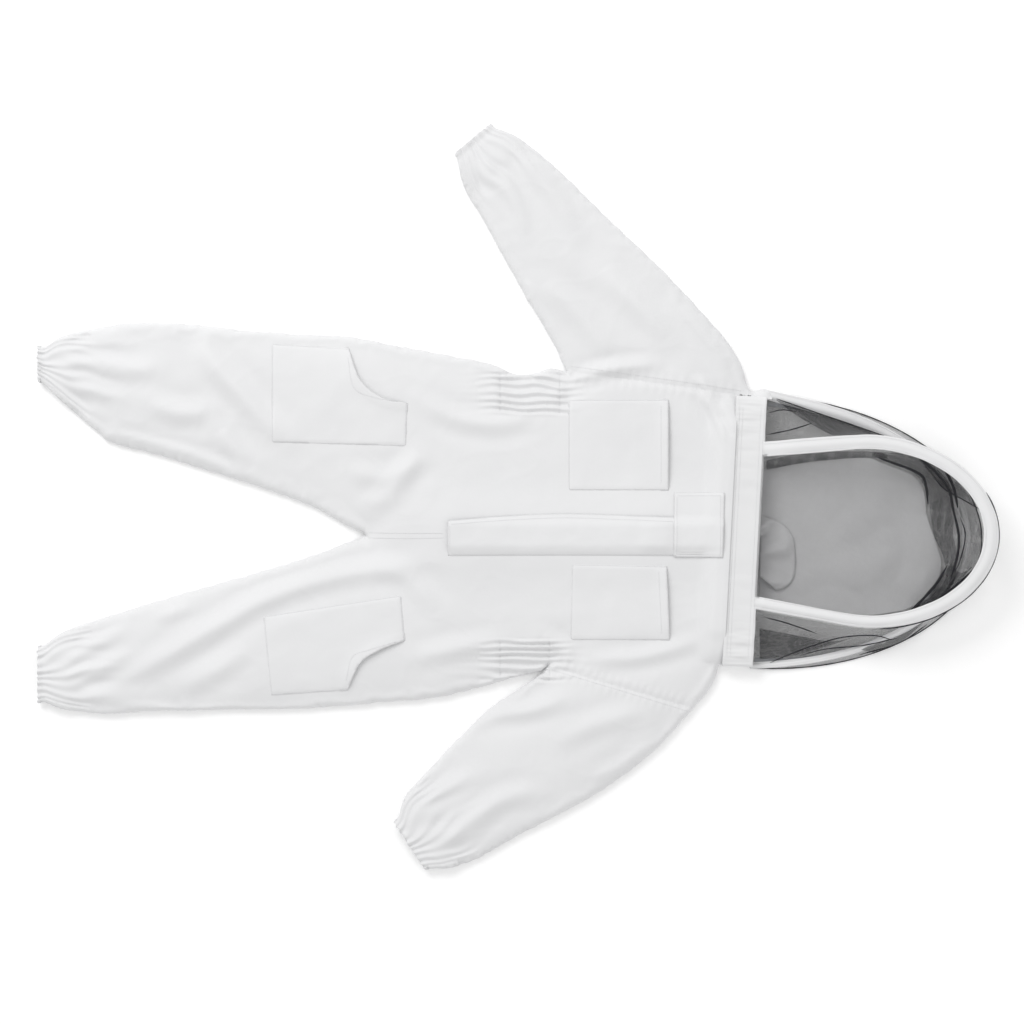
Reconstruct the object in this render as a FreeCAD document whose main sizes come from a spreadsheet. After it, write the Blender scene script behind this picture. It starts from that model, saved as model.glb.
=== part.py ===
"""Child's beekeeping suit with a two-hoop fencing hood, laid flat on its back.

Frame: +X runs from the ankles to the crown of the hood, +Y towards the wearer's right
and +Z up from the table.  Lengths are millimetres.  Front cloth is a puffed shell that
stands on a flat back cloth; each cloth is split only where the suit folds.
"""
import FreeCAD, Part
import math
import os

from FreeCAD import Placement, Rotation, Vector

doc = FreeCAD.newDocument("BeekeepingSuit")
sheet = doc.addObject("Spreadsheet::Sheet", "Sizes")

SIZES = {
    "cloth": 1.5,
    "garment_loft": 36.0,
    "shoulder_round": 8.0,
    "shell_wall": 3.2,
    "shell_top": 2.8,
    "body_gap": 0.4,
    "centre_line": -60.0,
    "knee_line": -470.0,
    "cuff_length": 27.0,
    "cuff_height": 26.0,
    "cuff_wall": 4.0,
    "cuff_round": 9.0,
    "elastic_thickness": 1.2,
    "elastic_width": 20.0,
    "waist_elastic_length": 62.0,
    "waist_elastic_width": 42.0,
    "waist_elastic_depth": 2.0,
    "pocket_height": 7.5,
    "cover_height": 12.0,
    "cover_cloth": 1.4,
    "placket_width": 60.0,
    "placket_length": 348.0,
    "placket_start": -105.0,
    "throat_width": 99.0,
    "throat_length": 62.0,
    "throat_start": 244.0,
    "throat_hinge": 5.0,
    "zip_tape_width": 26.0,
    "zip_tape_height": 0.8,
    "zip_tape_start": -150.0,
    "zip_tape_length": 450.0,
    "zip_teeth_width": 5.0,
    "zip_teeth_height": 1.0,
    "slider_length": 11.0,
    "slider_width": 6.0,
    "slider_height": 3.2,
    "pull_length": 22.0,
    "pull_width": 6.0,
    "pull_height": 1.4,
    "slider_start": 222.0,
    "patch_length": 48.0,
    "patch_width": 14.0,
    "patch_height": 1.6,
    "neck_x": 376.5,
    "neck_y": -59.5,
    "neck_turn": -3.0,
    "neck_middle": 4.5,
    "neck_width": 418.0,
    "neck_height": 34.0,
    "neck_wall": 2.0,
    "neck_round": 14.0,
    "collar_start": -62.0,
    "collar_length": 6.0,
    "coil_length": 5.6,
    "hood_coil_length": 5.2,
    "band_length": 44.0,
    "hood_middle": 14.0,
    "hoop_tape": 23.0,
    "hoop_tape_height": 4.0,
    "hoop_strip": 6.0,
    "hoop_strip_height": 1.2,
    "strip_clearance": 0.4,
    "front_hoop_base": 118.0,
    "front_hoop_width": 139.0,
    "front_hoop_straight": 160.0,
    "front_hoop_crown": 195.0,
    "front_hoop_tilt": -8.0,
    "front_hoop_level": 37.0,
    "rear_hoop_width": 198.0,
    "rear_hoop_crown": 322.0,
    "rear_hoop_level": 2.2,
    "veil_dome": 13.0,
    "dome_wall": 2.8,
    "dome_round": 7.0,
    "veil_cloth": 1.4,
    "back_veil_width": 211.0,
    "back_veil_crown": 346.0,
    "back_panel_width": 112.0,
    "back_panel_crown": 278.0,
    "back_panel_middle": -8.0,
    "facing_length": 38.0,
    "facing_width": 180.0,
    "facing_level": 9.0,
}
for row, (alias, value) in enumerate(SIZES.items(), start=1):
    sheet.set(f"A{row}", alias)
    sheet.set(f"B{row}", str(value))
    sheet.setAlias(f"B{row}", alias)
doc.recompute()


def size(alias):
    """Read one driving dimension from the sheet."""
    return float(getattr(sheet, alias))


CLOTH = size("cloth")
LOFT = size("garment_loft")
GAP = size("body_gap")
CENTRE = size("centre_line")
KNEE = size("knee_line")
SAME_PLACE = 0.6
TOUCHING = 0.01
LEAST_CUT = 1.0
PLAY = 0.1

# Outline stretches of the suit, as few points as each curve needs.
CROTCH = (-233, CENTRE)
RIGHT_ARMPIT = (81, 193)
RIGHT_NECK = (325.5, 158.3)
LEFT_ARMPIT = (61, -250)
LEFT_SHOULDER = (277, -320)
LEFT_NECK = (303.5, -262)
NECK_CENTRE = (312, CENTRE)
RIGHT_THIGH_SIDE = [(KNEE, 265), (-411, 258), (-263, 249), (-188, 236), (-58, 212), (-5, 193),
                    (45, 191), RIGHT_ARMPIT]
RIGHT_THIGH_INSIDE = [CROTCH, (-318, -16), (-393, 12), (KNEE, 37)]
LEFT_THIGH_SIDE = [LEFT_ARMPIT, (32, -275), (-21, -289), (-77, -303), (-188, -318), (-337, -331),
                   (KNEE, -332)]
LEFT_THIGH_INSIDE = [(KNEE, -135), (-393, -114), (-318, -91), CROTCH]
LEFT_SHOULDER_TOP = [LEFT_NECK, (297, -298), LEFT_SHOULDER]
ANKLE = -713
RIGHT_SHIN_SIDE = [(ANKLE, 245), (-640, 264), (-560, 271), (KNEE, 265)]
RIGHT_SHIN_INSIDE = [(KNEE, 37), (-541, 58), (-616, 79), (-672, 117), (ANKLE, 153)]
LEFT_SHIN_INSIDE = [(ANKLE, -212), (-616, -179), (-541, -156), (KNEE, -135)]
LEFT_SHIN_SIDE = [(KNEE, -332), (-523, -334), (-616, -337), (ANKLE, -328)]
RIGHT_WRIST = [(-19, 566), (-80, 518)]
LEFT_WRIST = [(-168, -487), (-124, -577)]
RIGHT_SLEEVE_TOP = [RIGHT_NECK, (353, 186), (340, 228), (295, 281), (221, 359), (147, 430), (72, 503),
                    (16, 549), RIGHT_WRIST[0]]
RIGHT_SLEEVE_UNDER = [RIGHT_WRIST[1], (-77, 469), (-58, 438), (-21, 370), (35, 272), RIGHT_ARMPIT]
LEFT_SLEEVE_TOP = [LEFT_WRIST[1], (-58, -562), (-2, -531), (54, -501), (109, -472), (165, -436),
                   (202, -407), (240, -370), LEFT_SHOULDER]
LEFT_SLEEVE_UNDER = [LEFT_ARMPIT, (-2, -301), (-40, -326), (-77, -362), (-114, -399), (-151, -439),
                     LEFT_WRIST[0]]


def curve_through(points):
    """A line for two points and a smooth curve for more."""
    places = [Vector(x, y, 0) for x, y in points]
    if len(places) == 2:
        return Part.LineSegment(*places)
    curve = Part.BSplineCurve()
    curve.interpolate(places)
    return curve


def moved(points, along_x, along_y):
    """The same points shifted in the plane."""
    return [(x + along_x, y + along_y) for x, y in points]


def add_body(name):
    """An empty PartDesign body that carries the node's name."""
    body = doc.addObject("PartDesign::Body", name)
    body.Label = name
    return body


def add_sketch(body, role, curves, lift=None):
    """A sketch on one of the body's own origin planes, lifted by an expression."""
    sketch = body.newObject("Sketcher::SketchObject", body.Name + "_sketch")
    plane = next(f for f in body.Origin.OriginFeatures if f.Role == role)
    sketch.AttachmentSupport = (plane, [""])
    sketch.MapMode = "FlatFace"
    sketch.addGeometry(curves, False)
    if lift:
        sketch.setExpression("AttachmentOffset.Base.z", lift)
    return sketch


def add_pad(body, sketch, length):
    """Pad a sketch by a sheet expression."""
    pad = body.newObject("PartDesign::Pad", body.Name + "_pad")
    pad.Profile = sketch
    pad.setExpression("Length", length)
    doc.recompute()
    return pad


def add_pocket(body, sketch, length, name="pocket"):
    """Pocket a sketch along its own normal and make sure that it removes material."""
    before = body.Shape.Volume
    pocket = body.newObject("PartDesign::Pocket", f"{body.Name}_{name}")
    pocket.Profile = sketch
    pocket.Reversed = True
    pocket.setExpression("Length", length)
    doc.recompute()
    if body.Shape.Volume > before - LEAST_CUT:
        raise RuntimeError(f"{body.Label}: the pocket removes nothing")
    return pocket


def middle_of(points):
    """A point halfway along a stretch of outline."""
    edge = curve_through(points).toShape()
    return edge.valueAt((edge.FirstParameter + edge.LastParameter) / 2)


def touching(shapes, prefix, places, level):
    """Names of the edges or faces that pass through the given places at one level."""
    names = []
    for index, shape in enumerate(shapes, start=1):
        for place in places:
            probe = Part.Vertex(place.x, place.y, level)
            if shape.distToShape(probe)[0] < TOUCHING:
                names.append(f"{prefix}{index}")
                break
    return names


def hollow_curves(stretches, wall):
    """The inside of an outline: inset from its walls and running past its open ends."""
    outline = [point for kind, points in stretches for point in points]
    area = sum(x0 * y1 - x1 * y0 for (x0, y0), (x1, y1) in zip(outline, outline[1:] + outline[:1]))
    inward = 1 if area > 0 else -1
    past = 4.0
    inner = []
    for index, (kind, points) in enumerate(stretches):
        line = []
        last = len(points) - 1
        for place, (x, y) in enumerate(points):
            before = points[max(place - 1, 0)]
            after = points[min(place + 1, last)]
            along = Vector(after[0] - before[0], after[1] - before[1], 0).normalize()
            inside = Vector(-along.y, along.x, 0) * inward
            spot = Vector(x, y, 0) + inside * (-past if kind == "open" else wall)
            if place in (0, last):
                step = 1 if place == 0 else -1
                neighbour = stretches[(index - step) % len(stretches)][0]
                if kind == "open":
                    spot += along * step * (-past if neighbour == "open" else wall)
                elif neighbour != "open":
                    spot += along * step * wall
            line.append((spot.x, spot.y))
        inner.append(line)
    curves = []
    for index, line in enumerate(inner):
        following = inner[(index + 1) % len(inner)]
        if math.dist(line[-1], following[0]) < SAME_PLACE:
            line[-1] = following[0]
    for index, line in enumerate(inner):
        following = inner[(index + 1) % len(inner)]
        curves.append(curve_through(line))
        if line[-1] != following[0]:
            curves.append(curve_through([line[-1], following[0]]))
    return curves


def add_front_shell(name, stretches):
    """A puffed front cloth: open below and on the "open" stretches, rounded over each "wall"."""
    body = add_body(name)
    sketch = add_sketch(body, "XY_Plane", [curve_through(points) for kind, points in stretches],
                        "Sizes.cloth")
    pad = add_pad(body, sketch, "Sizes.garment_loft - Sizes.cloth")
    walls = [middle_of(points) for kind, points in stretches if kind == "wall"]
    shoulder = body.newObject("PartDesign::Fillet", name + "_shoulder")
    shoulder.Base = (pad, touching(pad.Shape.Edges, "Edge", walls, LOFT))
    shoulder.setExpression("Radius", "Sizes.shoulder_round")
    doc.recompute()
    if "Invalid" in shoulder.State:
        raise RuntimeError(f"{name}: its shoulder can't be rounded")
    inside = add_sketch(body, "XY_Plane", hollow_curves(stretches, size("shell_wall")), "Sizes.cloth")
    add_pocket(body, inside, "Sizes.garment_loft - Sizes.cloth - Sizes.shell_top")
    return body


def add_flat_panel(name, stretches, thickness="Sizes.cloth", lift=None):
    """A flat cloth of one outline."""
    body = add_body(name)
    sketch = add_sketch(body, "XY_Plane", [curve_through(points) for points in stretches], lift)
    add_pad(body, sketch, thickness)
    return body


# Torso and thighs: two front cloths that meet at the zip, over one back cloth.
add_front_shell("right_front_panel", [
    ("wall", RIGHT_THIGH_SIDE),
    ("open", [RIGHT_ARMPIT, RIGHT_NECK]),
    ("open", [RIGHT_NECK, NECK_CENTRE]),
    ("open", [NECK_CENTRE, CROTCH]),
    ("wall", RIGHT_THIGH_INSIDE),
    ("open", [RIGHT_THIGH_INSIDE[-1], RIGHT_THIGH_SIDE[0]]),
])
add_front_shell("left_front_panel", [
    ("open", [CROTCH, NECK_CENTRE]),
    ("open", [NECK_CENTRE, LEFT_NECK]),
    ("plain wall", LEFT_SHOULDER_TOP),
    ("open", [LEFT_SHOULDER, LEFT_ARMPIT]),
    ("plain wall", LEFT_THIGH_SIDE),
    ("open", [LEFT_THIGH_SIDE[-1], LEFT_THIGH_INSIDE[0]]),
    ("wall", LEFT_THIGH_INSIDE),
])
add_flat_panel("back_panel", [
    RIGHT_THIGH_SIDE, [RIGHT_ARMPIT, RIGHT_NECK], [RIGHT_NECK, LEFT_NECK], LEFT_SHOULDER_TOP,
    [LEFT_SHOULDER, LEFT_ARMPIT], LEFT_THIGH_SIDE, [LEFT_THIGH_SIDE[-1], LEFT_THIGH_INSIDE[0]],
    LEFT_THIGH_INSIDE, RIGHT_THIGH_INSIDE, [RIGHT_THIGH_INSIDE[-1], RIGHT_THIGH_SIDE[0]],
])

# Shins and sleeves: each stands a little away from the torso so that it can fold over it.
LIMBS = {
    "right_shin": (RIGHT_SHIN_SIDE, RIGHT_SHIN_INSIDE, -2 * GAP, 0.0),
    "left_shin": (LEFT_SHIN_SIDE, LEFT_SHIN_INSIDE, -2 * GAP, 0.0),
    "right_sleeve": (RIGHT_SLEEVE_TOP, RIGHT_SLEEVE_UNDER, 0.0, 2 * GAP),
    "left_sleeve": (LEFT_SLEEVE_TOP, LEFT_SLEEVE_UNDER, 0.0, -2 * GAP),
}
for limb, (one_side, other_side, along_x, along_y) in LIMBS.items():
    first = moved(one_side, along_x, along_y)
    second = moved(other_side, along_x, along_y)
    joins = [[first[-1], second[0]], [second[-1], first[0]]]
    add_front_shell(limb + "_front", [
        ("wall", first), ("open", joins[0]), ("wall", second), ("open", joins[1])])
    add_flat_panel(limb + "_back", [first, joins[0], second, joins[1]])


def rounded_ring(width, height, corner, inset):
    """Closed curves of a rounded rectangle in a sketch, standing on the sketch's X axis."""
    half = width / 2 - inset
    low = inset
    high = height - inset
    radius = max(corner - inset, 0.5)
    corners = [(half, low), (half, high), (-half, high), (-half, low)]
    curves = []
    for index, (x, y) in enumerate(corners):
        sign_x = -1 if x > 0 else 1
        sign_y = 1 if y == low else -1
        centre = Vector(x + sign_x * radius, y + sign_y * radius, 0)
        start = -90 + 90 * index
        circle = Part.Circle(centre, Vector(0, 0, 1), radius)
        curves.append(Part.ArcOfCircle(circle, math.radians(start), math.radians(start + 90)))
    ends = []
    for index, arc in enumerate(curves):
        ends.append(Part.LineSegment(arc.EndPoint, curves[(index + 1) % 4].StartPoint))
    return curves + ends


def add_tube(name, width, height, corner, wall, length, place):
    """A flattened tube whose axis runs along its own X."""
    body = add_body(name)
    curves = rounded_ring(width, height, corner, 0.0) + rounded_ring(width, height, corner, wall)
    sketch = add_sketch(body, "YZ_Plane", curves)
    add_pad(body, sketch, length)
    body.Placement = place
    return body


# Gathered cuffs: a folded casing with its elastic band in an open-ended channel.
CUFFS = {
    "right_ankle": (66.0, Placement(Vector(-741.2, 202, 0), Rotation())),
    "left_ankle": (96.0, Placement(Vector(-741.2, -275, 0), Rotation())),
    "right_wrist": (76.0, Placement(Vector(-68.4, 564.2, 0), Rotation(Vector(0, 0, 1), -51.6))),
    "left_wrist": (90.0, Placement(Vector(-171.0, -544.7, 0), Rotation(Vector(0, 0, 1), 26.1))),
}
for cuff, (width, place) in CUFFS.items():
    height = size("cuff_height")
    corner = size("cuff_round")
    thickness = size("elastic_thickness")
    lining = (size("cuff_wall") - thickness) / 2
    casing = add_tube(cuff + "_cuff", width, height, corner, size("cuff_wall"), "Sizes.cuff_length",
                      place)
    channel = rounded_ring(width, height, corner, lining - PLAY)
    channel += rounded_ring(width, height, corner, lining + thickness + PLAY)
    groove = add_sketch(casing, "YZ_Plane", channel, "Sizes.cuff_length - Sizes.elastic_width - 1")
    add_pocket(casing, groove, "Sizes.elastic_width + 2")
    band = add_body(cuff + "_elastic")
    ring = rounded_ring(width, height, corner, lining)
    ring += rounded_ring(width, height, corner, lining + thickness)
    profile = add_sketch(band, "YZ_Plane", ring, "Sizes.cuff_length - Sizes.elastic_width - 0.5")
    add_pad(band, profile, "Sizes.elastic_width")
    band.Placement = place


def add_box(name, length, width, height, place):
    """A plain box whose sides are sheet expressions."""
    box = doc.addObject("Part::Box", name)
    box.Label = name
    for side, expression in (("Length", length), ("Width", width), ("Height", height)):
        box.setExpression(side, expression)
    box.Placement = place
    return box


# Waist elastics, sewn under the front cloth at each side.
WAIST_START = -20.0
UNDER_FRONT = LOFT - size("shell_top") - size("waist_elastic_depth")
for side, near in (("right", 128.0), ("left", -262.0)):
    add_box(side + "_waist_elastic", "Sizes.waist_elastic_length", "Sizes.waist_elastic_width",
            "Sizes.waist_elastic_depth", Placement(Vector(WAIST_START, near, UNDER_FRONT), Rotation()))


def add_patch_pocket(name, stretches):
    """A patch sewn on three sides: walls where it is sewn, open at its mouth and on the cloth."""
    body = add_body(name)
    outline = [curve_through(points) for kind, points in stretches]
    add_pad(body, add_sketch(body, "XY_Plane", outline, "Sizes.garment_loft"), "Sizes.pocket_height")
    inside = add_sketch(body, "XY_Plane", hollow_curves(stretches, CLOTH), "Sizes.garment_loft")
    add_pocket(body, inside, "Sizes.pocket_height - Sizes.cloth")
    return body


for side, corners in {
    "right": [(236, 9), (236, 150), (81, 150), (81, 9)],
    "left": [(238, -222), (233, -107), (86, -104), (84, -222)],
}.items():
    add_patch_pocket(side + "_chest_pocket", [
        ("open", [corners[0], corners[1]]),
        ("wall", [corners[1], corners[2]]),
        ("wall", [corners[2], corners[3]]),
        ("wall", [corners[3], corners[0]]),
    ])
RIGHT_MOUTH = [(-166, 144), (-207, 153), (-239, 180), (-258, 230)]
LEFT_MOUTH = [(-260, -300), (-239, -257), (-207, -236), (-170, -222)]
add_patch_pocket("right_leg_pocket", [
    ("open", RIGHT_MOUTH),
    ("wall", [RIGHT_MOUTH[-1], (-377, 236)]),
    ("wall", [(-377, 236), (-377, 83)]),
    ("wall", [(-377, 83), (-168, 77)]),
    ("wall", [(-168, 77), RIGHT_MOUTH[0]]),
])
add_patch_pocket("left_leg_pocket", [
    ("open", LEFT_MOUTH),
    ("wall", [LEFT_MOUTH[-1], (-176, -152)]),
    ("wall", [(-176, -152), (-390, -185)]),
    ("wall", [(-390, -185), (-378, -308)]),
    ("wall", [(-378, -308), LEFT_MOUTH[0]]),
])


def arch_curves(width, rise, cloth):
    """An arched cover's section: a flat cloth bowed up over the zip, in the sketch's plane."""
    def arc(half, top):
        start = Vector(-half, 0, 0)
        end = Vector(half, 0, 0)
        return Part.Arc(start, Vector(0, top, 0), end)
    half = width / 2
    inner_half = half - 3 * cloth
    outer = arc(half, rise)
    inner = arc(inner_half, rise - cloth)
    feet = [Part.LineSegment(Vector(side * half, 0, 0), Vector(side * inner_half, 0, 0))
            for side in (-1, 1)]
    return [outer, inner] + feet


def add_cover(name, width, start, middle, length):
    """A cover flap that bows over the zip, standing just above the front cloth."""
    body = add_body(name)
    curves = arch_curves(size(width), size("cover_height"), size("cover_cloth"))
    sketch = add_sketch(body, "YZ_Plane", curves)
    add_pad(body, sketch, length)
    body.Placement = Placement(Vector(size(start), middle, LOFT + GAP), Rotation())
    return body


PLACKET_MIDDLE = -62.0
THROAT_MIDDLE = size("throat_hinge") - size("throat_width") / 2
add_cover("placket", "placket_width", "placket_start", PLACKET_MIDDLE, "Sizes.placket_length")
add_cover("throat_flap", "throat_width", "throat_start", THROAT_MIDDLE, "Sizes.throat_length")

# Hook-and-loop closure near the free edge of the throat flap.
PATCH_PLACE = Vector(size("throat_start") + 7, THROAT_MIDDLE - 44, LOFT)
add_box("loop_patch", "Sizes.patch_length", "Sizes.patch_width", "Sizes.patch_height / 2",
        Placement(PATCH_PLACE, Rotation()))
add_box("hook_patch", "Sizes.patch_length", "Sizes.patch_width / 2", "Sizes.patch_height * 0.8",
        Placement(PATCH_PLACE + Vector(0, 3.5, size("patch_height") / 2 + GAP), Rotation()))

# Front zip: tape, teeth, slider and pull, all under the placket.
TAPE_HALF = size("zip_tape_width") / 2
add_box("front_zip_tape", "Sizes.zip_tape_length", "Sizes.zip_tape_width", "Sizes.zip_tape_height",
        Placement(Vector(size("zip_tape_start"), CENTRE - TAPE_HALF, LOFT), Rotation()))
TEETH_LEVEL = LOFT + size("zip_tape_height")
add_box("front_zip_teeth", "Sizes.zip_tape_length", "Sizes.zip_teeth_width", "Sizes.zip_teeth_height",
        Placement(Vector(size("zip_tape_start"), CENTRE - size("zip_teeth_width") / 2, TEETH_LEVEL),
                  Rotation()))
SLIDER_LEVEL = TEETH_LEVEL + size("zip_teeth_height") + GAP


def add_slider(name, place):
    """A zip slider: a rounded block with a low bridge for its pull."""
    body = add_body(name)
    half_width = size("slider_width") / 2
    length = size("slider_length")
    outline = [
        Part.LineSegment(Vector(0, -half_width / 2, 0), Vector(length, -half_width, 0)),
        Part.LineSegment(Vector(length, -half_width, 0), Vector(length, half_width, 0)),
        Part.LineSegment(Vector(length, half_width, 0), Vector(0, half_width / 2, 0)),
        Part.LineSegment(Vector(0, half_width / 2, 0), Vector(0, -half_width / 2, 0)),
    ]
    sketch = add_sketch(body, "XY_Plane", outline)
    add_pad(body, sketch, "Sizes.slider_height")
    body.Placement = place
    return body


def add_pull(name, place):
    """A zip pull: a flat tab with a round hole."""
    body = add_body(name)
    half = size("pull_width") / 2
    far = -size("pull_length") + half
    tab = [
        Part.LineSegment(Vector(0, -half, 0), Vector(0, half, 0)),
        Part.LineSegment(Vector(0, half, 0), Vector(far, half, 0)),
        Part.ArcOfCircle(Part.Circle(Vector(far, 0, 0), Vector(0, 0, 1), half), math.pi / 2,
                         3 * math.pi / 2),
        Part.LineSegment(Vector(far, -half, 0), Vector(0, -half, 0)),
        Part.Circle(Vector(far, 0, 0), Vector(0, 0, 1), half / 2),
    ]
    sketch = add_sketch(body, "XY_Plane", tab)
    add_pad(body, sketch, "Sizes.pull_height")
    body.Placement = place
    return body


add_slider("front_zip_slider", Placement(Vector(size("slider_start"), CENTRE, SLIDER_LEVEL),
                                         Rotation()))
add_pull("front_zip_pull", Placement(
    Vector(size("slider_start") - 1.0, CENTRE, SLIDER_LEVEL + 1.0), Rotation()))

# Neck: the suit's collar, the zip round it and the hood's band, all turned a little.
NECK = Placement(Vector(size("neck_x"), size("neck_y"), 0),
                 Rotation(Vector(0, 0, 1), size("neck_turn")))


def on_neck(along, across, level, turn=0.0, tilt=0.0):
    """A placement in the hood's own frame: along its axis, across it and above the table."""
    spin = Rotation(Vector(0, 0, 1), turn) * Rotation(Vector(0, 1, 0), tilt)
    return NECK * Placement(Vector(along, across, level), spin)


RINGS = {
    "neck_collar": (size("collar_start"), "Sizes.collar_length"),
    "neck_zip_coil": (size("collar_start") + size("collar_length"), "Sizes.coil_length"),
    "hood_zip_coil": (-size("band_length") - size("hood_coil_length"), "Sizes.hood_coil_length"),
    "hood_band": (-size("band_length"), "Sizes.band_length"),
}
for ring, (start, length) in RINGS.items():
    add_tube(ring, size("neck_width"), size("neck_height"), size("neck_round"), size("neck_wall"),
             length, on_neck(start, size("neck_middle"), 0))
COIL_MIDDLE = size("collar_start") + size("collar_length") + size("coil_length") / 2
SLIDER_ON_COIL = size("neck_height") + GAP
for side, across, turn in (("right", 22.0, -90.0), ("left", 6.0, 90.0)):
    outward = 1 if side == "right" else -1
    slider_place = on_neck(COIL_MIDDLE, across + outward * size("slider_length"), SLIDER_ON_COIL,
                           turn)
    add_slider(side + "_neck_slider", slider_place)
    add_pull(side + "_neck_pull", on_neck(COIL_MIDDLE, across + outward * (size("slider_length") + 1),
                                          SLIDER_ON_COIL + 1.0, turn))


def horseshoe(half_base, half_width, straight, crown, middle, start):
    """Curves of one side of a hoop: two legs joined by half an ellipse, left open at the base."""
    centre = Vector(straight, middle, 0)
    ellipse = Part.Ellipse(centre + Vector(crown, 0, 0), centre + Vector(0, half_width, 0), centre)
    curves = [Part.ArcOfEllipse(ellipse, -math.pi / 2, math.pi / 2)]
    if straight > start:
        for side in (-1, 1):
            curves.append(Part.LineSegment(Vector(straight, middle + side * half_width, 0),
                                           Vector(start, middle + side * half_base, 0)))
    return curves


def hoop_curves(half_base, half_width, straight, crown, middle, start, half_tape):
    """A closed hoop outline of even width."""
    outer = horseshoe(half_base + half_tape, half_width + half_tape, straight, crown + half_tape,
                      middle, start)
    inner = horseshoe(half_base - half_tape, half_width - half_tape, straight, crown - half_tape,
                      middle, start)
    feet = [Part.LineSegment(Vector(start, middle + side * (half_base - half_tape), 0),
                             Vector(start, middle + side * (half_base + half_tape), 0))
            for side in (-1, 1)]
    return outer + inner + feet


def add_hoop(prefix, base, width, straight, crown, middle, start, place):
    """A taped hoop: a cloth casing with a spring strip let into its underside."""
    casing = add_body(prefix + "_casing")
    outline = hoop_curves(base, width, straight, crown, middle, start, size("hoop_tape") / 2)
    add_pad(casing, add_sketch(casing, "XY_Plane", outline), "Sizes.hoop_tape_height")
    slot_half = size("hoop_strip") / 2 + size("strip_clearance")
    slot = hoop_curves(base, width, straight, crown, middle, start, slot_half)
    add_pocket(casing, add_sketch(casing, "XY_Plane", slot),
               "Sizes.hoop_strip_height + Sizes.strip_clearance")
    casing.Placement = place
    strip = add_body(prefix + "_strip")
    line = hoop_curves(base, width, straight, crown, middle, start, size("hoop_strip") / 2)
    add_pad(strip, add_sketch(strip, "XY_Plane", line, "Sizes.strip_clearance / 2"),
            "Sizes.hoop_strip_height")
    strip.Placement = place


HOOD_MIDDLE = size("hood_middle")
HOOP_START = 4.0
FRONT_PLACE = on_neck(0, 0, size("front_hoop_level"), tilt=size("front_hoop_tilt"))
add_hoop("front_hoop", size("front_hoop_base"), size("front_hoop_width"),
         size("front_hoop_straight"), size("front_hoop_crown"), HOOD_MIDDLE, HOOP_START, FRONT_PLACE)
add_hoop("rear_hoop", size("rear_hoop_width"), size("rear_hoop_width"), HOOP_START,
         size("rear_hoop_crown") - HOOP_START, size("neck_middle"), HOOP_START,
         on_neck(0, 0, size("rear_hoop_level")))

# Face veil: a mesh dome inside the front hoop.
veil = add_body("face_veil")
edge_half = -size("hoop_tape") / 2
veil_curves = horseshoe(size("front_hoop_base") + edge_half, size("front_hoop_width") + edge_half,
                        size("front_hoop_straight"), size("front_hoop_crown") + edge_half,
                        HOOD_MIDDLE, HOOP_START)
veil_foot = size("front_hoop_base") + edge_half
veil_curves.append(Part.LineSegment(Vector(HOOP_START, HOOD_MIDDLE - veil_foot, 0),
                                    Vector(HOOP_START, HOOD_MIDDLE + veil_foot, 0)))
veil_pad = add_pad(veil, add_sketch(veil, "XY_Plane", veil_curves), "Sizes.veil_dome")
veil_round = veil.newObject("PartDesign::Fillet", "face_veil_round")
veil_top = [f"Edge{i}" for i, e in enumerate(veil_pad.Shape.Edges, start=1)
            if e.BoundBox.ZMin > size("veil_dome") - TOUCHING]
veil_round.Base = (veil_pad, veil_top)
veil_round.setExpression("Radius", "Sizes.dome_round")
doc.recompute()
inner_half = edge_half - size("dome_wall")
inner_foot = size("front_hoop_base") + inner_half
inner_start = HOOP_START + size("dome_wall")
veil_inside = horseshoe(inner_foot, size("front_hoop_width") + inner_half,
                        size("front_hoop_straight"), size("front_hoop_crown") + inner_half,
                        HOOD_MIDDLE, inner_start)
veil_inside.append(Part.LineSegment(Vector(inner_start, HOOD_MIDDLE - inner_foot, 0),
                                    Vector(inner_start, HOOD_MIDDLE + inner_foot, 0)))
add_pocket(veil, add_sketch(veil, "XY_Plane", veil_inside), "Sizes.veil_dome - Sizes.dome_wall")
veil.Placement = FRONT_PLACE
doc.recompute()


def closed_hoop(half_base, half_width, straight, crown, middle, start):
    """A closed wire of a hoop outline with a straight base."""
    curves = horseshoe(half_base, half_width, straight, crown, middle, start)
    base = Part.LineSegment(Vector(start, middle - half_base, 0), Vector(start, middle + half_base, 0))
    edges = [curve.toShape() for curve in curves + [base]]
    return Part.Wire(Part.__sortEdges__(edges))


REAR_STRAIGHT = 60.0
SUNK = 0.8
CUT_LENGTH = 600.0
CUT_WIDTH = 400.0
CUT_HEIGHT = 200.0
CUT_FLOOR = -10.0


def side_veil_solid(inset):
    """The tapering mesh body between the two hoops."""
    low = closed_hoop(size("rear_hoop_width") - inset, size("rear_hoop_width") - inset, REAR_STRAIGHT,
                      size("rear_hoop_crown") - REAR_STRAIGHT - inset, size("neck_middle"),
                      HOOP_START - 1)
    low.translate(Vector(0, 0, size("rear_hoop_level") + size("hoop_tape_height") + PLAY))
    high = closed_hoop(size("front_hoop_base") - inset, size("front_hoop_width") - inset,
                       size("front_hoop_straight"), size("front_hoop_crown") - inset, HOOD_MIDDLE,
                       HOOP_START - 1)
    high.Placement = Placement(Vector(0, 0, size("front_hoop_level") - SUNK),
                               Rotation(Vector(0, 1, 0), size("front_hoop_tilt")))
    return Part.makeLoft([low, high], True, True)


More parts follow.
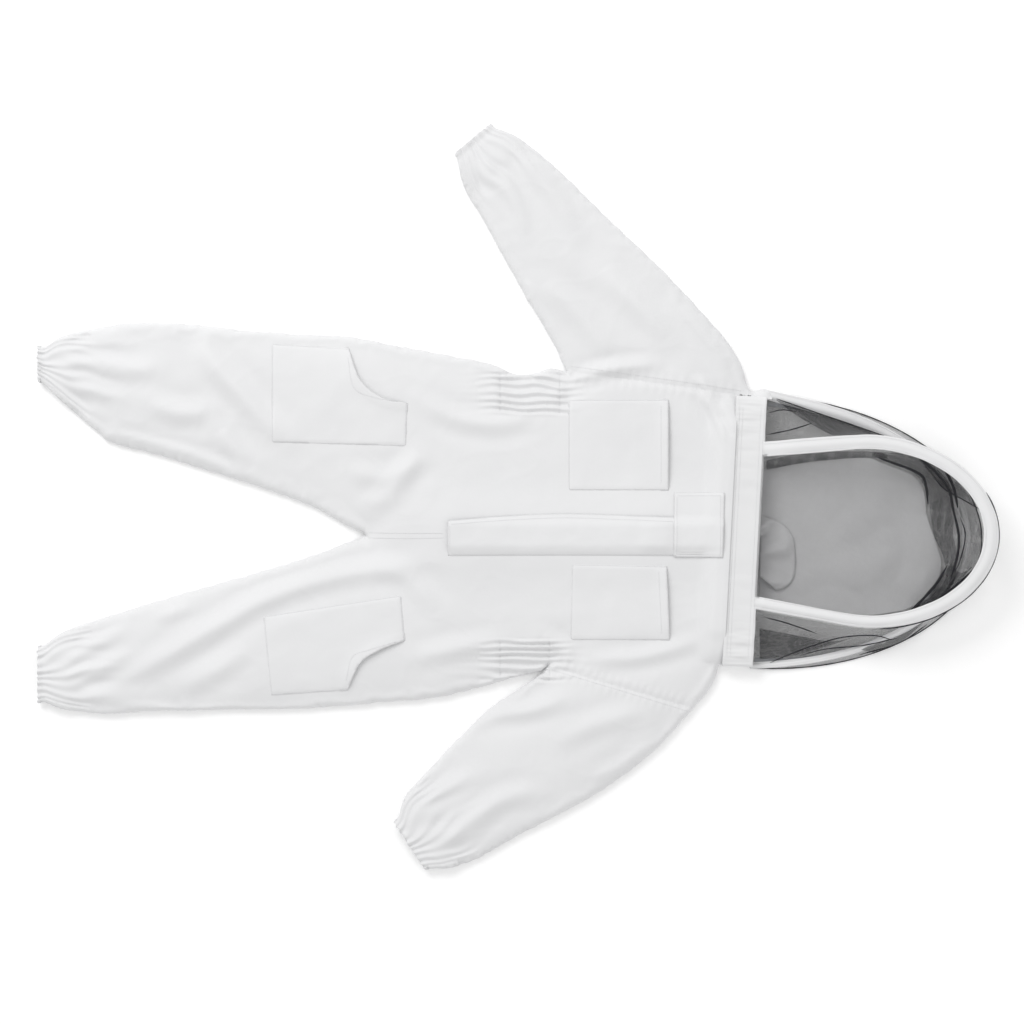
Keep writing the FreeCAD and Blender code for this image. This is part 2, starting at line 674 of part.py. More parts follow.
mesh_wall = side_veil_solid(0.0).cut(side_veil_solid(size("veil_cloth")))
mesh_wall = mesh_wall.cut(Part.makeBox(-2 * CUT_FLOOR, CUT_LENGTH, CUT_HEIGHT,
                                       Vector(CUT_FLOOR, -CUT_LENGTH / 2, CUT_FLOOR)))
for side, low_edge in (("right", HOOD_MIDDLE), ("left", HOOD_MIDDLE - CUT_WIDTH)):
    half = mesh_wall.common(Part.makeBox(CUT_LENGTH, CUT_WIDTH, CUT_HEIGHT,
                                         Vector(0, low_edge, CUT_FLOOR)))
    veil_side = doc.addObject("Part::Feature", side + "_side_veil")
    veil_side.Label = side + "_side_veil"
    veil_side.Shape = half.Solids[0] if len(half.Solids) == 1 else half
    veil_side.Placement = NECK

# Back of the hood: a white cloth panel let into the back veil, and the facing of the neck.
back = add_body("hood_back_panel")
back_curves = horseshoe(size("back_panel_width"), size("back_panel_width"), HOOP_START,
                        size("back_panel_crown") - HOOP_START, size("back_panel_middle"), HOOP_START)
back_low = size("back_panel_middle") - size("back_panel_width")
back_high = size("back_panel_middle") + size("back_panel_width")
back_curves.append(Part.LineSegment(Vector(HOOP_START, back_low, 0), Vector(HOOP_START, back_high, 0)))
add_pad(back, add_sketch(back, "XY_Plane", back_curves), "Sizes.cloth")
back.Placement = NECK
back_veil = add_body("back_veil")
veil_low = size("neck_middle") - size("back_veil_width")
veil_high = size("neck_middle") + size("back_veil_width")
rim = horseshoe(size("back_veil_width"), size("back_veil_width"), HOOP_START,
                size("back_veil_crown") - HOOP_START, size("neck_middle"), HOOP_START)
rim += horseshoe(size("back_panel_width"), size("back_panel_width"), HOOP_START,
                 size("back_panel_crown") - HOOP_START, size("back_panel_middle"), HOOP_START)
rim.append(Part.LineSegment(Vector(HOOP_START, veil_low, 0), Vector(HOOP_START, back_low, 0)))
rim.append(Part.LineSegment(Vector(HOOP_START, back_high, 0), Vector(HOOP_START, veil_high, 0)))
add_pad(back_veil, add_sketch(back_veil, "XY_Plane", rim), "Sizes.cloth")
back_veil.Placement = NECK
add_box("neck_facing", "Sizes.facing_length", "Sizes.facing_width", "Sizes.cloth",
        on_neck(1.0, -70.0, size("facing_level")))

doc.recompute()
NODE_TYPES = ("PartDesign::Body", "Part::Box", "Part::Feature")
nodes = [item for item in doc.Objects if item.TypeId in NODE_TYPES]
for item in doc.Objects:
    if "Invalid" in item.State or "Error" in item.State:
        raise RuntimeError(f"{item.Label} failed to recompute: {item.State}")
for node in nodes:
    if node.Shape.isNull() or not node.Shape.isValid() or not node.Shape.Solids:
        raise RuntimeError(f"{node.Label} has no valid solid")

os.makedirs("parts", exist_ok=True)
for node in nodes:
    node.Shape.exportStep(f"parts/{node.Label}.step")
    box = node.Shape.BoundBox
    print(f"{node.Label:24s} solids {len(node.Shape.Solids)}  volume {node.Shape.Volume / 1000:9.1f} cm3  "
          f"X {box.XMin:7.1f} {box.XMax:7.1f}  Y {box.YMin:7.1f} {box.YMax:7.1f}  "
          f"Z {box.ZMin:5.1f} {box.ZMax:6.1f}")
print(len(nodes), "nodes")
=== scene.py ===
"""A child's beekeeping suit laid flat on its back: cloth, mesh and tape around the CAD frame."""
import math

import bmesh
import bpy
import numpy as np
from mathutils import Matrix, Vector
from mathutils.bvhtree import BVHTree
from mathutils.geometry import delaunay_2d_cdt
from mathutils.noise import noise


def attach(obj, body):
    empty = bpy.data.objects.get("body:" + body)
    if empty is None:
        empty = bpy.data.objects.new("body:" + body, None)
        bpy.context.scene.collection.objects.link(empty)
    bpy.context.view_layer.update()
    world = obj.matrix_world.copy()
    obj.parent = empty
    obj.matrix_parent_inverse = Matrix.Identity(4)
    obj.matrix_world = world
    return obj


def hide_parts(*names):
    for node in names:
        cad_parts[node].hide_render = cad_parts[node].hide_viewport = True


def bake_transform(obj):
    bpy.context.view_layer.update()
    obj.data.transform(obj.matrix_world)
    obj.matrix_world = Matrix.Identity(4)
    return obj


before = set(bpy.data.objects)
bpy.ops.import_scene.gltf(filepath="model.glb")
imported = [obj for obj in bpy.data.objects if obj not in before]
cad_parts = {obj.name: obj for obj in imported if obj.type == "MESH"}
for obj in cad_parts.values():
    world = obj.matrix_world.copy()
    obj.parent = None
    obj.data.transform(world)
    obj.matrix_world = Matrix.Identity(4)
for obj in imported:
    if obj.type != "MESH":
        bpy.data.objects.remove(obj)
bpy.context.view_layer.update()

MM = 0.001
RANDOM = np.random.RandomState(7)


# ---------------------------------------------------------------- outlines (millimetres, row frame)
CENTRE_Y = -60.0
RIGHT_ARMPIT = (78, 194)
LEFT_ARMPIT = (50, -262)
RIGHT_SIDE = [(-741, 235), (-728, 236), (-709, 246), (-690, 253), (-653, 261), (-616, 268), (-560, 270),
              (-486, 266), (-393, 256), (-263, 249), (-188, 236), (-114, 222), (-40, 207), (-2, 191),
              (16, 190), (35, 193), (54, 200), RIGHT_ARMPIT]
RIGHT_SLEEVE_UNDER = [RIGHT_ARMPIT, (54, 240), (16, 305), (-21, 370), (-58, 438), (-77, 469),
                      (-92, 510), (-97, 531)]
RIGHT_SLEEVE_TOP = [(-39, 579), (-21, 570), (16, 549), (72, 503), (146, 430), (221, 359), (295, 281),
                    (332, 238), (351, 205), (362, 165)]
NECK = [(362, 165), (400, 150), (420, -50), (395, -250), (316, -262)]
LEFT_SHOULDER = [(316, -262), (308, -288), (295, -308), (277, -328)]
NECK_CUT = [(343, 160), (321, -262)]
LEFT_SLEEVE_TOP = [(277, -328), (240, -370), (202, -407), (165, -436), (109, -472), (54, -501),
                   (-2, -531), (-58, -562), (-114, -580), (-141, -580)]
LEFT_SLEEVE_UNDER = [(-191, -503), (-170, -460), (-151, -439), (-114, -399), (-77, -362), (-40, -326),
                     (-2, -301), (30, -279), LEFT_ARMPIT]
LEFT_SIDE = [LEFT_ARMPIT, (35, -273), (-2, -281), (-21, -287), (-77, -303), (-132, -314), (-225, -322),
             (-318, -329), (-411, -331), (-560, -334), (-635, -337), (-690, -332), (-709, -328),
             (-741, -322)]
LEFT_INSIDE = [(-741, -230), (-709, -213), (-690, -204), (-635, -185), (-560, -162), (-486, -140),
               (-393, -114), (-318, -91), (-255, -67), (-233, -58)]
RIGHT_INSIDE = [(-233, -58), (-263, -46), (-318, -16), (-393, 12), (-486, 41), (-560, 64), (-625, 81),
                (-653, 103), (-690, 134), (-709, 151), (-741, 178)]
OUTLINE = [RIGHT_SIDE, RIGHT_SLEEVE_UNDER, [RIGHT_SLEEVE_UNDER[-1], RIGHT_SLEEVE_TOP[0]],
           RIGHT_SLEEVE_TOP, NECK, LEFT_SHOULDER, LEFT_SLEEVE_TOP,
           [LEFT_SLEEVE_TOP[-1], LEFT_SLEEVE_UNDER[0]], LEFT_SLEEVE_UNDER, LEFT_SIDE,
           [LEFT_SIDE[-1], LEFT_INSIDE[0]], LEFT_INSIDE, RIGHT_INSIDE,
           [RIGHT_INSIDE[-1], RIGHT_SIDE[0]]]
RIGHT_ARMHOLE = [RIGHT_ARMPIT, (362, 155)]
LEFT_ARMHOLE = [LEFT_ARMPIT, (277, -328)]


def smooth_line(points, step):
    """Catmull-Rom through the points, resampled evenly."""
    p = np.array(points, float)
    if len(p) > 2:
        ends = np.vstack([2 * p[0] - p[1], p, 2 * p[-1] - p[-2]])
        dense = []
        for i in range(1, len(ends) - 2):
            a, b, c, d = ends[i - 1:i + 3]
            t = np.linspace(0, 1, 24, endpoint=False)[:, None]
            dense.append(0.5 * (2 * b + (c - a) * t + (2 * a - 5 * b + 4 * c - d) * t ** 2
                                + (3 * b - a - 3 * c + d) * t ** 3))
        p = np.vstack(dense + [p[-1:]])
    gaps = np.linalg.norm(np.diff(p, axis=0), axis=1)
    along = np.concatenate([[0], np.cumsum(gaps)])
    count = max(2, int(round(along[-1] / step)) + 1)
    at = np.linspace(0, along[-1], count)
    return np.stack([np.interp(at, along, p[:, k]) for k in range(p.shape[1])], axis=1)


def joined(*stretches):
    """The stretches of a closed outline: each runs on to the first place of the next."""
    return [list(one) + [after[0]] for one, after in zip(stretches, stretches[1:] + stretches[:1])]


def closed_outline(stretches, step):
    """One closed loop of points from stretches that follow each other."""
    return np.vstack([smooth_line(s, step)[:-1] for s in stretches])


def distance_to_line(places, line):
    """Distance from many places to a polyline, and how far along it the nearest point is."""
    places = np.asarray(places, float)
    best = np.full(len(places), 1e9)
    share = np.zeros(len(places))
    lengths = np.linalg.norm(np.diff(line, axis=0), axis=1)
    total = lengths.sum()
    passed = 0.0
    for a, b, length in zip(line[:-1], line[1:], lengths):
        d = b - a
        t = np.clip(((places - a) @ d) / max(length * length, 1e-12), 0, 1)
        gap = np.linalg.norm(places - (a + t[:, None] * d), axis=1)
        nearer = gap < best
        best = np.where(nearer, gap, best)
        share = np.where(nearer, (passed + t * length) / total, share)
        passed += length
    return best, share


def inside_loop(places, loop):
    """Which places are inside a closed loop."""
    x, y = places[:, 0], places[:, 1]
    inside = np.zeros(len(places), bool)
    for (x0, y0), (x1, y1) in zip(loop, np.roll(loop, -1, axis=0)):
        if y0 == y1:
            continue
        crosses = ((y0 > y) != (y1 > y)) & (x < (x1 - x0) * (y - y0) / (y1 - y0) + x0)
        inside ^= crosses
    return inside


def side_of(places, line):
    """Positive to the left of the line from its first point to its last."""
    (x0, y0), (x1, y1) = line[0], line[-1]
    length = math.hypot(x1 - x0, y1 - y0)
    return ((x1 - x0) * (places[:, 1] - y0) - (y1 - y0) * (places[:, 0] - x0)) / length


# ---------------------------------------------------------------- the garment's cloth
CUFFS = {
    "right_ankle": ((-741, 206.5), (1.0, 0.0), 29.0),
    "left_ankle": ((-741, -276), (1.0, 0.0), 46.0),
    "right_wrist": ((-68, 555), (0.641, -0.768), 37.0),
    "left_wrist": ((-166, -541.5), (0.837, 0.548), 46.0),
}
FOLDS = [
    # points, height, half-width
    ([(-481, 258), (-470, 212), (-427, 162), (-381, 111), (-350, 88)], 13, 15),
    ([(-567, 145), (-520, 129), (-470, 131)], 9, 13),
    ([(-458, 103), (-412, 41)], 7, 12),
    ([(-625, 92), (-520, 66), (-399, 26)], 6, 9),
    ([(-700, 205), (-660, 210), (-600, 196), (-548, 200)], 8, 12),
    ([(-700, 225), (-650, 238), (-600, 236)], 6, 9),
    ([(-700, 190), (-655, 165), (-610, 150)], 7, 10),
    ([(-644, -300), (-567, -261), (-458, -199), (-388, -160), (-288, -126), (-117, -98)], 11, 13),
    ([(-705, -275), (-650, -268), (-590, -240)], 9, 11),
    ([(-705, -300), (-650, -310), (-570, -306)], 7, 11),
    ([(-705, -255), (-660, -235), (-600, -205)], 7, 10),
    ([(-520, -300), (-450, -262), (-410, -235)], 7, 13),
    ([(-560, -190), (-500, -168)], 5, 9),
    ([(-24, 557), (22, 514), (69, 452), (95, 405)], 10, 12),
    ([(131, 351), (193, 289), (236, 243)], 10, 14),
    ([(-60, 520), (-10, 470), (20, 400)], 7, 10),
    ([(40, 330), (90, 290), (150, 215)], 8, 14),
    ([(250, 300), (300, 240), (330, 190)], 7, 12),
    ([(-47, -336), (20, -330), (84, -308)], 9, 11),
    ([(-148, -556), (-80, -512), (-24, -470), (38, -455)], 10, 12),
    ([(-165, -510), (-120, -460), (-60, -425)], 7, 10),
    ([(115, -439), (162, -420), (215, -380)], 7, 12),
    ([(60, -380), (130, -350), (200, -330)], 7, 13),
    ([(286, 173), (337, 91)], 15, 8),
    ([(84, 183), (150, 197), (216, 204)], 10, 9),
    ([(115, -253), (200, -246), (286, -222)], 8, 10),
    ([(-150, 150), (-90, 120), (-20, 112), (30, 126)], 8, 12),
    ([(60, 150), (75, 175)], 5, 9),
    ([(-160, -250), (-90, -235), (-20, -222)], 8, 12),
    ([(40, -215), (75, -235), (80, -262)], 6, 10),
    ([(-228, -20), (-180, 20), (-150, 70)], 7, 13),
    ([(-215, -110), (-160, -130), (-120, -180)], 7, 13),
    ([(-260, 40), (-200, 30), (-140, 60)], 6, 12),
]
THICKEST = 27.0
FOLD_SHARE = 0.72
WIDTH_TO_FILL = 90.0


def smoothstep(x):
    x = np.clip(x, 0, 1)
    return x * x * (3 - 2 * x)


def garment_loft(places, loop):
    """Height of the front cloth: puffed away from the outline and raised along its folds."""
    gap, _ = distance_to_line(places, np.vstack([loop, loop[:1]]))
    share = np.clip(gap / WIDTH_TO_FILL, 0, 1)
    height = THICKEST * np.sqrt(share * (2 - share))
    fade = smoothstep(gap / 22)
    for points, rise, half in FOLDS:
        line = smooth_line(points, 8)
        reach, along = distance_to_line(places, line)
        ends = np.sin(np.pi * np.clip(along, 0.02, 0.98)) ** 0.6
        ridge = np.exp(-(reach / half) ** 2) - 0.45 * np.exp(-((reach - 2.1 * half) / half) ** 2)
        height += FOLD_SHARE * fade * ends * rise * ridge
    return height


def make_cloth_mesh(quick):
    """Front and back cloths as one closed triangulated pillow, sewn along the outline."""
    loop = closed_outline(OUTLINE, 7.0)
    low, high = loop.min(axis=0), loop.max(axis=0)
    spacing = 11.0 if quick else 8.0
    grid = []
    for fine in (False, True):
        step = spacing * (0.5 if fine else 1.0)
        rows = np.arange(low[1], high[1], step * 0.866)
        for number, y in enumerate(rows):
            xs = np.arange(low[0] + (number % 2) * step / 2, high[0], step)
            grid.append(np.stack([xs, np.full(len(xs), y), np.full(len(xs), float(fine))], axis=1))
    grid = np.vstack(grid)
    near_cuff = np.zeros(len(grid))
    for (cx, cy), (dx, dy), half in CUFFS.values():
        along = (grid[:, 0] - cx) * dx + (grid[:, 1] - cy) * dy
        across = np.abs(-(grid[:, 0] - cx) * dy + (grid[:, 1] - cy) * dx)
        near_cuff = np.maximum(near_cuff, (along < 85) & (across < 100) & (along > -20))
    for (cx, cy), half_x, half_y in WAIST_ELASTICS:
        at_waist = (np.abs(grid[:, 0] - cx) < half_x + 34) & (np.abs(grid[:, 1] - cy) < half_y + 14)
        near_cuff = np.maximum(near_cuff, at_waist)
    keep = np.where(grid[:, 2] > 0.5, near_cuff > 0.5, near_cuff < 0.5)
    grid = grid[keep, :2]
    grid += RANDOM.uniform(-1, 1, grid.shape) * spacing * 0.14
    gap, _ = distance_to_line(grid, np.vstack([loop, loop[:1]]))
    grid = grid[inside_loop(grid, loop) & (gap > spacing * 0.45)]
    flat = np.vstack([loop, grid])
    edges = [(i, (i + 1) % len(loop)) for i in range(len(loop))]
    places, _, faces, _, _, _ = delaunay_2d_cdt([Vector(p) for p in flat], edges, [], 1, 1e-5)
    places = np.array([tuple(p) for p in places])
    count = len(places)
    gap, _ = distance_to_line(places, np.vstack([loop, loop[:1]]))
    edge = gap < 1e-3
    height = garment_loft(places, loop)
    height[edge] = 0.0
    front = np.column_stack([places, height + 4.0])
    back = np.column_stack([places, np.full(count, 1.5)])
    front[edge, 2] = 3.0
    back_index = np.where(edge, np.arange(count), count + np.cumsum(~edge) - 1)
    verts = np.vstack([front, back[~edge]]) * MM
    faces = [tuple(f) for f in faces]
    up = []
    for f in faces:
        a, b, c = (places[i] for i in f)
        turn = (b[0] - a[0]) * (c[1] - a[1]) - (b[1] - a[1]) * (c[0] - a[0])
        up.append(f if turn > 0 else f[::-1])
    all_faces = up + [tuple(back_index[i] for i in reversed(f)) for f in up]
    mesh = bpy.data.meshes.new("garment")
    mesh.from_pydata([tuple(v) for v in verts], [], all_faces)
    layer = mesh.attributes.new("front", "FLOAT", "FACE")
    layer.data.foreach_set("value", [1.0] * len(up) + [0.0] * len(up))
    obj = bpy.data.objects.new("garment", mesh)
    bpy.context.scene.collection.objects.link(obj)
    return obj, np.flatnonzero(edge)


def simulate(obj, pinned, frames):
    """Blow the sewn cloth up a little and let it settle on the table."""
    scene = bpy.context.scene
    group = obj.vertex_groups.new(name="sewn")
    group.add([int(i) for i in pinned], 1.0, "REPLACE")
    table = bpy.data.meshes.new("sim_table")
    table.from_pydata([(-2, -2, 0), (2, -2, 0), (2, 2, 0), (-2, 2, 0)], [], [(0, 1, 2, 3)])
    table_obj = bpy.data.objects.new("sim_table", table)
    scene.collection.objects.link(table_obj)
    table_obj.modifiers.new("Collision", "COLLISION")
    table_obj.collision.thickness_outer = 0.001
    cloth = obj.modifiers.new("Cloth", "CLOTH")
    s = cloth.settings
    s.quality = 5
    s.mass = 0.12
    s.tension_stiffness = 12
    s.compression_stiffness = 12
    s.shear_stiffness = 4
    s.bending_stiffness = 0.12
    s.tension_damping = 8
    s.compression_damping = 8
    s.air_damping = 3
    s.vertex_group_mass = "sewn"
    s.pin_stiffness = 0.6
    s.shrink_min = -0.014
    s.use_pressure = True
    s.effector_weights.gravity = 0.6
    cloth.collision_settings.distance_min = 0.0012
    cloth.collision_settings.collision_quality = 2
    cloth.point_cache.frame_start = 1
    cloth.point_cache.frame_end = frames
    s.uniform_pressure_force = 1.6
    s.keyframe_insert("uniform_pressure_force", frame=1)
    s.keyframe_insert("uniform_pressure_force", frame=int(frames * 0.45))
    s.uniform_pressure_force = 0.25
    s.keyframe_insert("uniform_pressure_force", frame=int(frames * 0.7))
    for number in range(1, frames + 1):
        scene.frame_set(number)
    depsgraph = bpy.context.evaluated_depsgraph_get()
    settled = bpy.data.meshes.new_from_object(obj.evaluated_get(depsgraph))
    obj.modifiers.clear()
    if obj.animation_data:
        obj.animation_data_clear()
    old = obj.data
    obj.data = settled
    bpy.data.meshes.remove(old)
    bpy.data.objects.remove(table_obj)
    scene.frame_set(1)


# ---------------------------------------------------------------- working the settled cloth
WAIST_ELASTICS = [((22, 160), 46, 31), ((14, -254), 38, 30)]
NECK_CREASE = [(268, 178), (300, 150), (334, 92)]
ZIP_LEVEL = 34.5
CUFF_LENGTH = 27.0
CUFF_CUT = 3.0
NECK_AT = (376.5, -59.5)
NECK_TURN = math.radians(-3.0)


def noise_at(places, scale, seed):
    """Smooth noise at many places of the plane."""
    return np.array([noise(Vector((x / scale, y / scale, seed))) for x, y in places])


def gathers(across, along, pitch, seed):
    """Ridges of gathered cloth that wander a little as they run out from the elastic."""
    wander = np.array([noise(Vector((a / 55.0, c / 30.0, seed))) for a, c in zip(along, across)])
    return np.cos(2 * np.pi * (across / pitch + 0.55 * wander))


def to_neck(xy):
    """Places of the row frame in the hood's own frame: along it and across it."""
    dx, dy = xy[:, 0] - NECK_AT[0], xy[:, 1] - NECK_AT[1]
    c, s = math.cos(NECK_TURN), math.sin(NECK_TURN)
    return dx * c + dy * s, dy * c - dx * s


def ruffle(angle, out):
    """Gathers round a cuff, by the angle round it and the distance out from the limb."""
    phase = 2.1 * np.sin(angle * 3 + out * 0.05) + 0.9 * np.sin(angle * 7 + 1)
    return np.cos(angle * 23 + phase) + 0.5 * np.cos(angle * 11 + 2 + out * 0.1)


def limb_end(cuff):
    """Functions for the middle and half-width of a limb's end, by distance from its tip."""
    (cx, cy), (dx, dy), half = CUFFS[cuff]
    loop = closed_outline(OUTLINE, 2.0)
    a = (loop[:, 0] - cx) * dx + (loop[:, 1] - cy) * dy
    c = -(loop[:, 0] - cx) * dy + (loop[:, 1] - cy) * dx
    near = (a > 0.5) & (a < 150) & (np.abs(c) < half + 90)
    edges = []
    for chosen in (near & (c > 0), near & (c < 0)):
        order = np.argsort(a[chosen])
        edges.append((a[chosen][order], c[chosen][order]))

    def middle(at):
        return (np.interp(at, *edges[0]) + np.interp(at, *edges[1])) / 2

    def half_width(at):
        return (np.interp(at, *edges[0]) - np.interp(at, *edges[1])) / 2
    return middle, half_width


def cuff_shape(share, a, middle, half_width):
    """Across, top and bottom of a gathered limb's end: share runs from -1 to 1 across it."""
    nip = np.exp(-((a - 12) / 6) ** 2)
    flat = (1 - np.clip(share, -1, 1) ** 2) ** 0.36
    across = middle(a) + half_width(a) * share * (1 - 0.09 * np.exp(-((a - 13) / 12) ** 2))
    size = 1.3 * np.exp(-np.clip(a - 20, 0, None) / 34) + 1.1 * np.clip(14 - a, 0, None) / 14
    high = (9.5 + 6 * smoothstep((a - 14) / 60)) * (1 - 0.16 * nip)
    angle = np.arccos(np.clip(share, -1, 1))
    top = (high + size * ruffle(angle, CUFF_LENGTH - a)) * flat
    bottom = -(high + size * ruffle(-angle, CUFF_LENGTH - a)) * flat
    return across, top, bottom


def gather_cuffs(co, front):
    """Draw each limb's end in to its elastic, with gathers that run on into the limb."""
    for name, ((cx, cy), (dx, dy), half) in CUFFS.items():
        middle, half_width = limb_end(name)
        along = (co[:, 0] - cx) * dx + (co[:, 1] - cy) * dy
        across = -(co[:, 0] - cx) * dy + (co[:, 1] - cy) * dx
        near = (along < 140) & (along > -30) & (np.abs(across) < half + 80)
        a, c, z = np.maximum(along[near], 0.6), across[near], co[near, 2]
        share = np.clip((c - middle(a)) / half_width(a), -1, 1)
        moved, top, bottom = cuff_shape(share, a, middle, half_width)
        meet = 1 - smoothstep((a - 20) / 55)
        ripple = top * 0.12 * (1 - meet) * np.exp(-np.clip(a - 60, 0, None) / 30)
        upper = z * (1 - meet) + (12 + top) * meet + ripple * ruffle(np.arccos(share), CUFF_LENGTH - a)
        lower = z * (1 - meet) + np.maximum(12 + bottom, 0.6) * meet
        co[near, 2] = np.where(front[near], upper, lower)
        shift = (moved - c) * meet
        co[near, 0] -= shift * dy
        co[near, 1] += shift * dx


def scallop(obj, cuff):
    """Let a cuff's cut edge wander, as gathered cloth does."""
    (cx, cy), (dx, dy), half = CUFFS[cuff]
    for vertex in obj.data.vertices:
        x, y = vertex.co.x / MM - cx, vertex.co.y / MM - cy
        a = x * dx + y * dy
        if a < 18 and abs(-x * dy + y * dx) < half + 30:
            c = -x * dy + y * dx
            push = 2.0 * noise(Vector((c / 5.5, 3.0, half))) * float(smoothstep((18 - a) / 15))
            vertex.co.x += push * dx * MM
            vertex.co.y += push * dy * MM


def dress_garment(obj):
    """Gathers, seam grooves and the small creases that the simulated cloth is too coarse for."""
    mesh = obj.data
    count = len(mesh.vertices)
    co = np.empty(count * 3)
    mesh.vertices.foreach_get("co", co)
    co = co.reshape(-1, 3) / MM
    xy = co[:, :2]
    normal = np.empty(count * 3)
    mesh.vertices.foreach_get("normal", normal)
    front = normal.reshape(-1, 3)[:, 2] > 0.0
    loop = closed_outline(OUTLINE, 7.0)
    gap, _ = distance_to_line(xy, np.vstack([loop, loop[:1]]))
    full = 0.85 * garment_loft(xy, loop) + 2.0
    soft = 3.0
    raised = full + soft * np.log1p(np.exp(np.clip((co[:, 2] - full) / soft, -20, 20)))
    co[:, 2] = np.where(front, raised, co[:, 2])
    lift = np.zeros(count)
    inner = smoothstep(gap / 14)
    lift += inner * (0.8 * noise_at(xy, 46, 3.1) + 0.25 * noise_at(xy, 19, 8.7))
    crease = 1 - np.abs(noise_at(xy * np.array([1.0, 1.35]), 60, 5.5)) * 5
    lift += inner * 0.45 * np.clip(crease, 0, 1) ** 2
    for (cx, cy), half_x, half_y in WAIST_ELASTICS:
        a, c = xy[:, 0] - cx, xy[:, 1] - cy
        window = smoothstep((half_y + 8 - np.abs(c)) / 12)
        window = window * np.exp(-np.clip(np.abs(a) - half_x, 0, None) / 22)
        near = window > 0.01
        lift[near] += 2.7 * window[near] * gathers(c[near], a[near], 11.5, cy * 0.01)
        for row in (-half_x, half_x):
            lift[near] -= 0.8 * window[near] * np.exp(-((a[near] - row) / 3.0) ** 2)
    for armhole in (RIGHT_ARMHOLE, LEFT_ARMHOLE):
        reach, along = distance_to_line(xy, smooth_line(armhole, 10))
        pucker = np.cos(along * 2 * np.pi * 19 + 3 * noise_at(xy, 30, 2.2))
        lift -= inner * 2.0 * np.exp(-(reach / 4.0) ** 2)
        lift += inner * 0.6 * pucker * np.exp(-((reach - 9) / 8) ** 2)
    co[:, 2] += np.where(front, lift, np.clip(0.3 * lift, -1, 1))
    gather_cuffs(co, front)
    zip_reach, _ = distance_to_line(xy, np.array([[-80.0, CENTRE_Y], [330.0, CENTRE_Y]]))
    calm = np.where(front, 0.95 * np.exp(-(zip_reach / 62) ** 3), 0.0)
    co[:, 2] = co[:, 2] * (1 - calm) + ZIP_LEVEL * calm
    u, v = to_neck(xy)
    guard = np.where(np.abs(v - 7) < 180, 38.6 - 3.2 * smoothstep((np.abs(v - 7) - 155) / 22), 35.4)
    guard = guard * np.sqrt(np.clip(1 - (np.abs(v - 4.5) / 214) ** 8, 0, 1))
    guard = guard - 1.2 * smoothstep((u + 50) / 5)
    near = np.where(front, smoothstep((u + 92) / 30), 0.0)
    co[:, 2] = np.where(near > 0, co[:, 2] * (1 - near) + np.maximum(co[:, 2], guard) * near, co[:, 2])
    reach, along = distance_to_line(xy, smooth_line(NECK_CREASE, 6))
    fold = 2.4 * np.exp(-((reach - 12) / 7) ** 2) - 4.2 * np.exp(-(reach / 5) ** 2)
    co[:, 2] += np.where(front, fold * np.sin(np.pi * np.clip(along, 0, 1)) ** 0.5, 0.0)
    floor_gap = np.where(front, 2.5 + 2.0 * smoothstep(gap / 10), 0.4)
    co[:, 2] = np.maximum(co[:, 2], floor_gap)
    mesh.vertices.foreach_set("co", (co * MM).ravel())
    mesh.update()


def left_sleeve_share(xy):
    """Which places belong to the left sleeve: past the armhole, or below the armpit's fold."""
    beyond = side_of(xy, LEFT_ARMHOLE) < 0
    divider = np.interp(xy[:, 0], [-220, -77, -2, 35, 50], [-345, -332, -291, -276, -262])
    return np.where(xy[:, 0] < LEFT_ARMPIT[0], xy[:, 1] < divider, beyond)


def split_garment(obj):
    """Cut the garment along its seams into cloths that share their seam edges exactly."""
    mesh = obj.data
    centres = np.empty(len(mesh.polygons) * 3)
    mesh.polygons.foreach_get("center", centres)
    centres = centres.reshape(-1, 3) / MM
    xy = centres[:, :2]
    is_front = np.empty(len(mesh.polygons))
    mesh.attributes["front"].data.foreach_get("value", is_front)
    is_front = is_front > 0.5
    right_sleeve = (side_of(xy, RIGHT_ARMHOLE) > 0) & (xy[:, 1] > 150)
    left_sleeve = left_sleeve_share(xy)
    right_half = xy[:, 1] > CENTRE_Y
    body = ~(right_sleeve | left_sleeve)
    regions = {
        "right_sleeve": right_sleeve, "left_sleeve": left_sleeve & ~right_sleeve,
        "right_leg": body & right_half, "left_leg": body & ~right_half,
    }
    pieces = {}
    for region, mask in regions.items():
        for side, chosen in (("front", is_front), ("back", ~is_front)):
            picked = np.flatnonzero(mask & chosen)
            piece = piece_from_faces(mesh, picked, f"{region}_{side}_cloth")
            (cx, cy), (dx, dy), _ = CUFFS[region.replace("leg", "ankle").replace("sleeve", "wrist")]
            trim(piece, (cx + CUFF_CUT * dx, cy + CUFF_CUT * dy), (-dx, -dy))
            if region.endswith("leg"):
                (x0, y0), (x1, y1) = NECK_CUT
                trim(piece, NECK_CUT[0], (y0 - y1, x1 - x0))
            scallop(piece, region.replace("leg", "ankle").replace("sleeve", "wrist"))
            pieces[f"{region}_{side}"] = piece
    bpy.data.objects.remove(obj)
    return pieces


def trim(obj, place, outside):
    """Cut an object straight along an upright plane and drop what is outside it."""
    work = bmesh.new()
    work.from_mesh(obj.data)
    normal = Vector((outside[0], outside[1], 0)).normalized()
    bmesh.ops.bisect_plane(work, geom=work.verts[:] + work.edges[:] + work.faces[:], dist=1e-6,
                           plane_co=Vector((place[0] * MM, place[1] * MM, 0)), plane_no=normal,
                           clear_outer=True)
    work.to_mesh(obj.data)
    work.free()


def piece_from_faces(mesh, picked, name):
    """A new object made of some faces of a mesh."""
    used = {}
    faces = []
    for index in picked:
        faces.append([used.setdefault(v, len(used)) for v in mesh.polygons[index].vertices])
    verts = [None] * len(used)
    for old, new in used.items():
        verts[new] = mesh.vertices[old].co[:]
    return add_mesh(name, verts, faces)


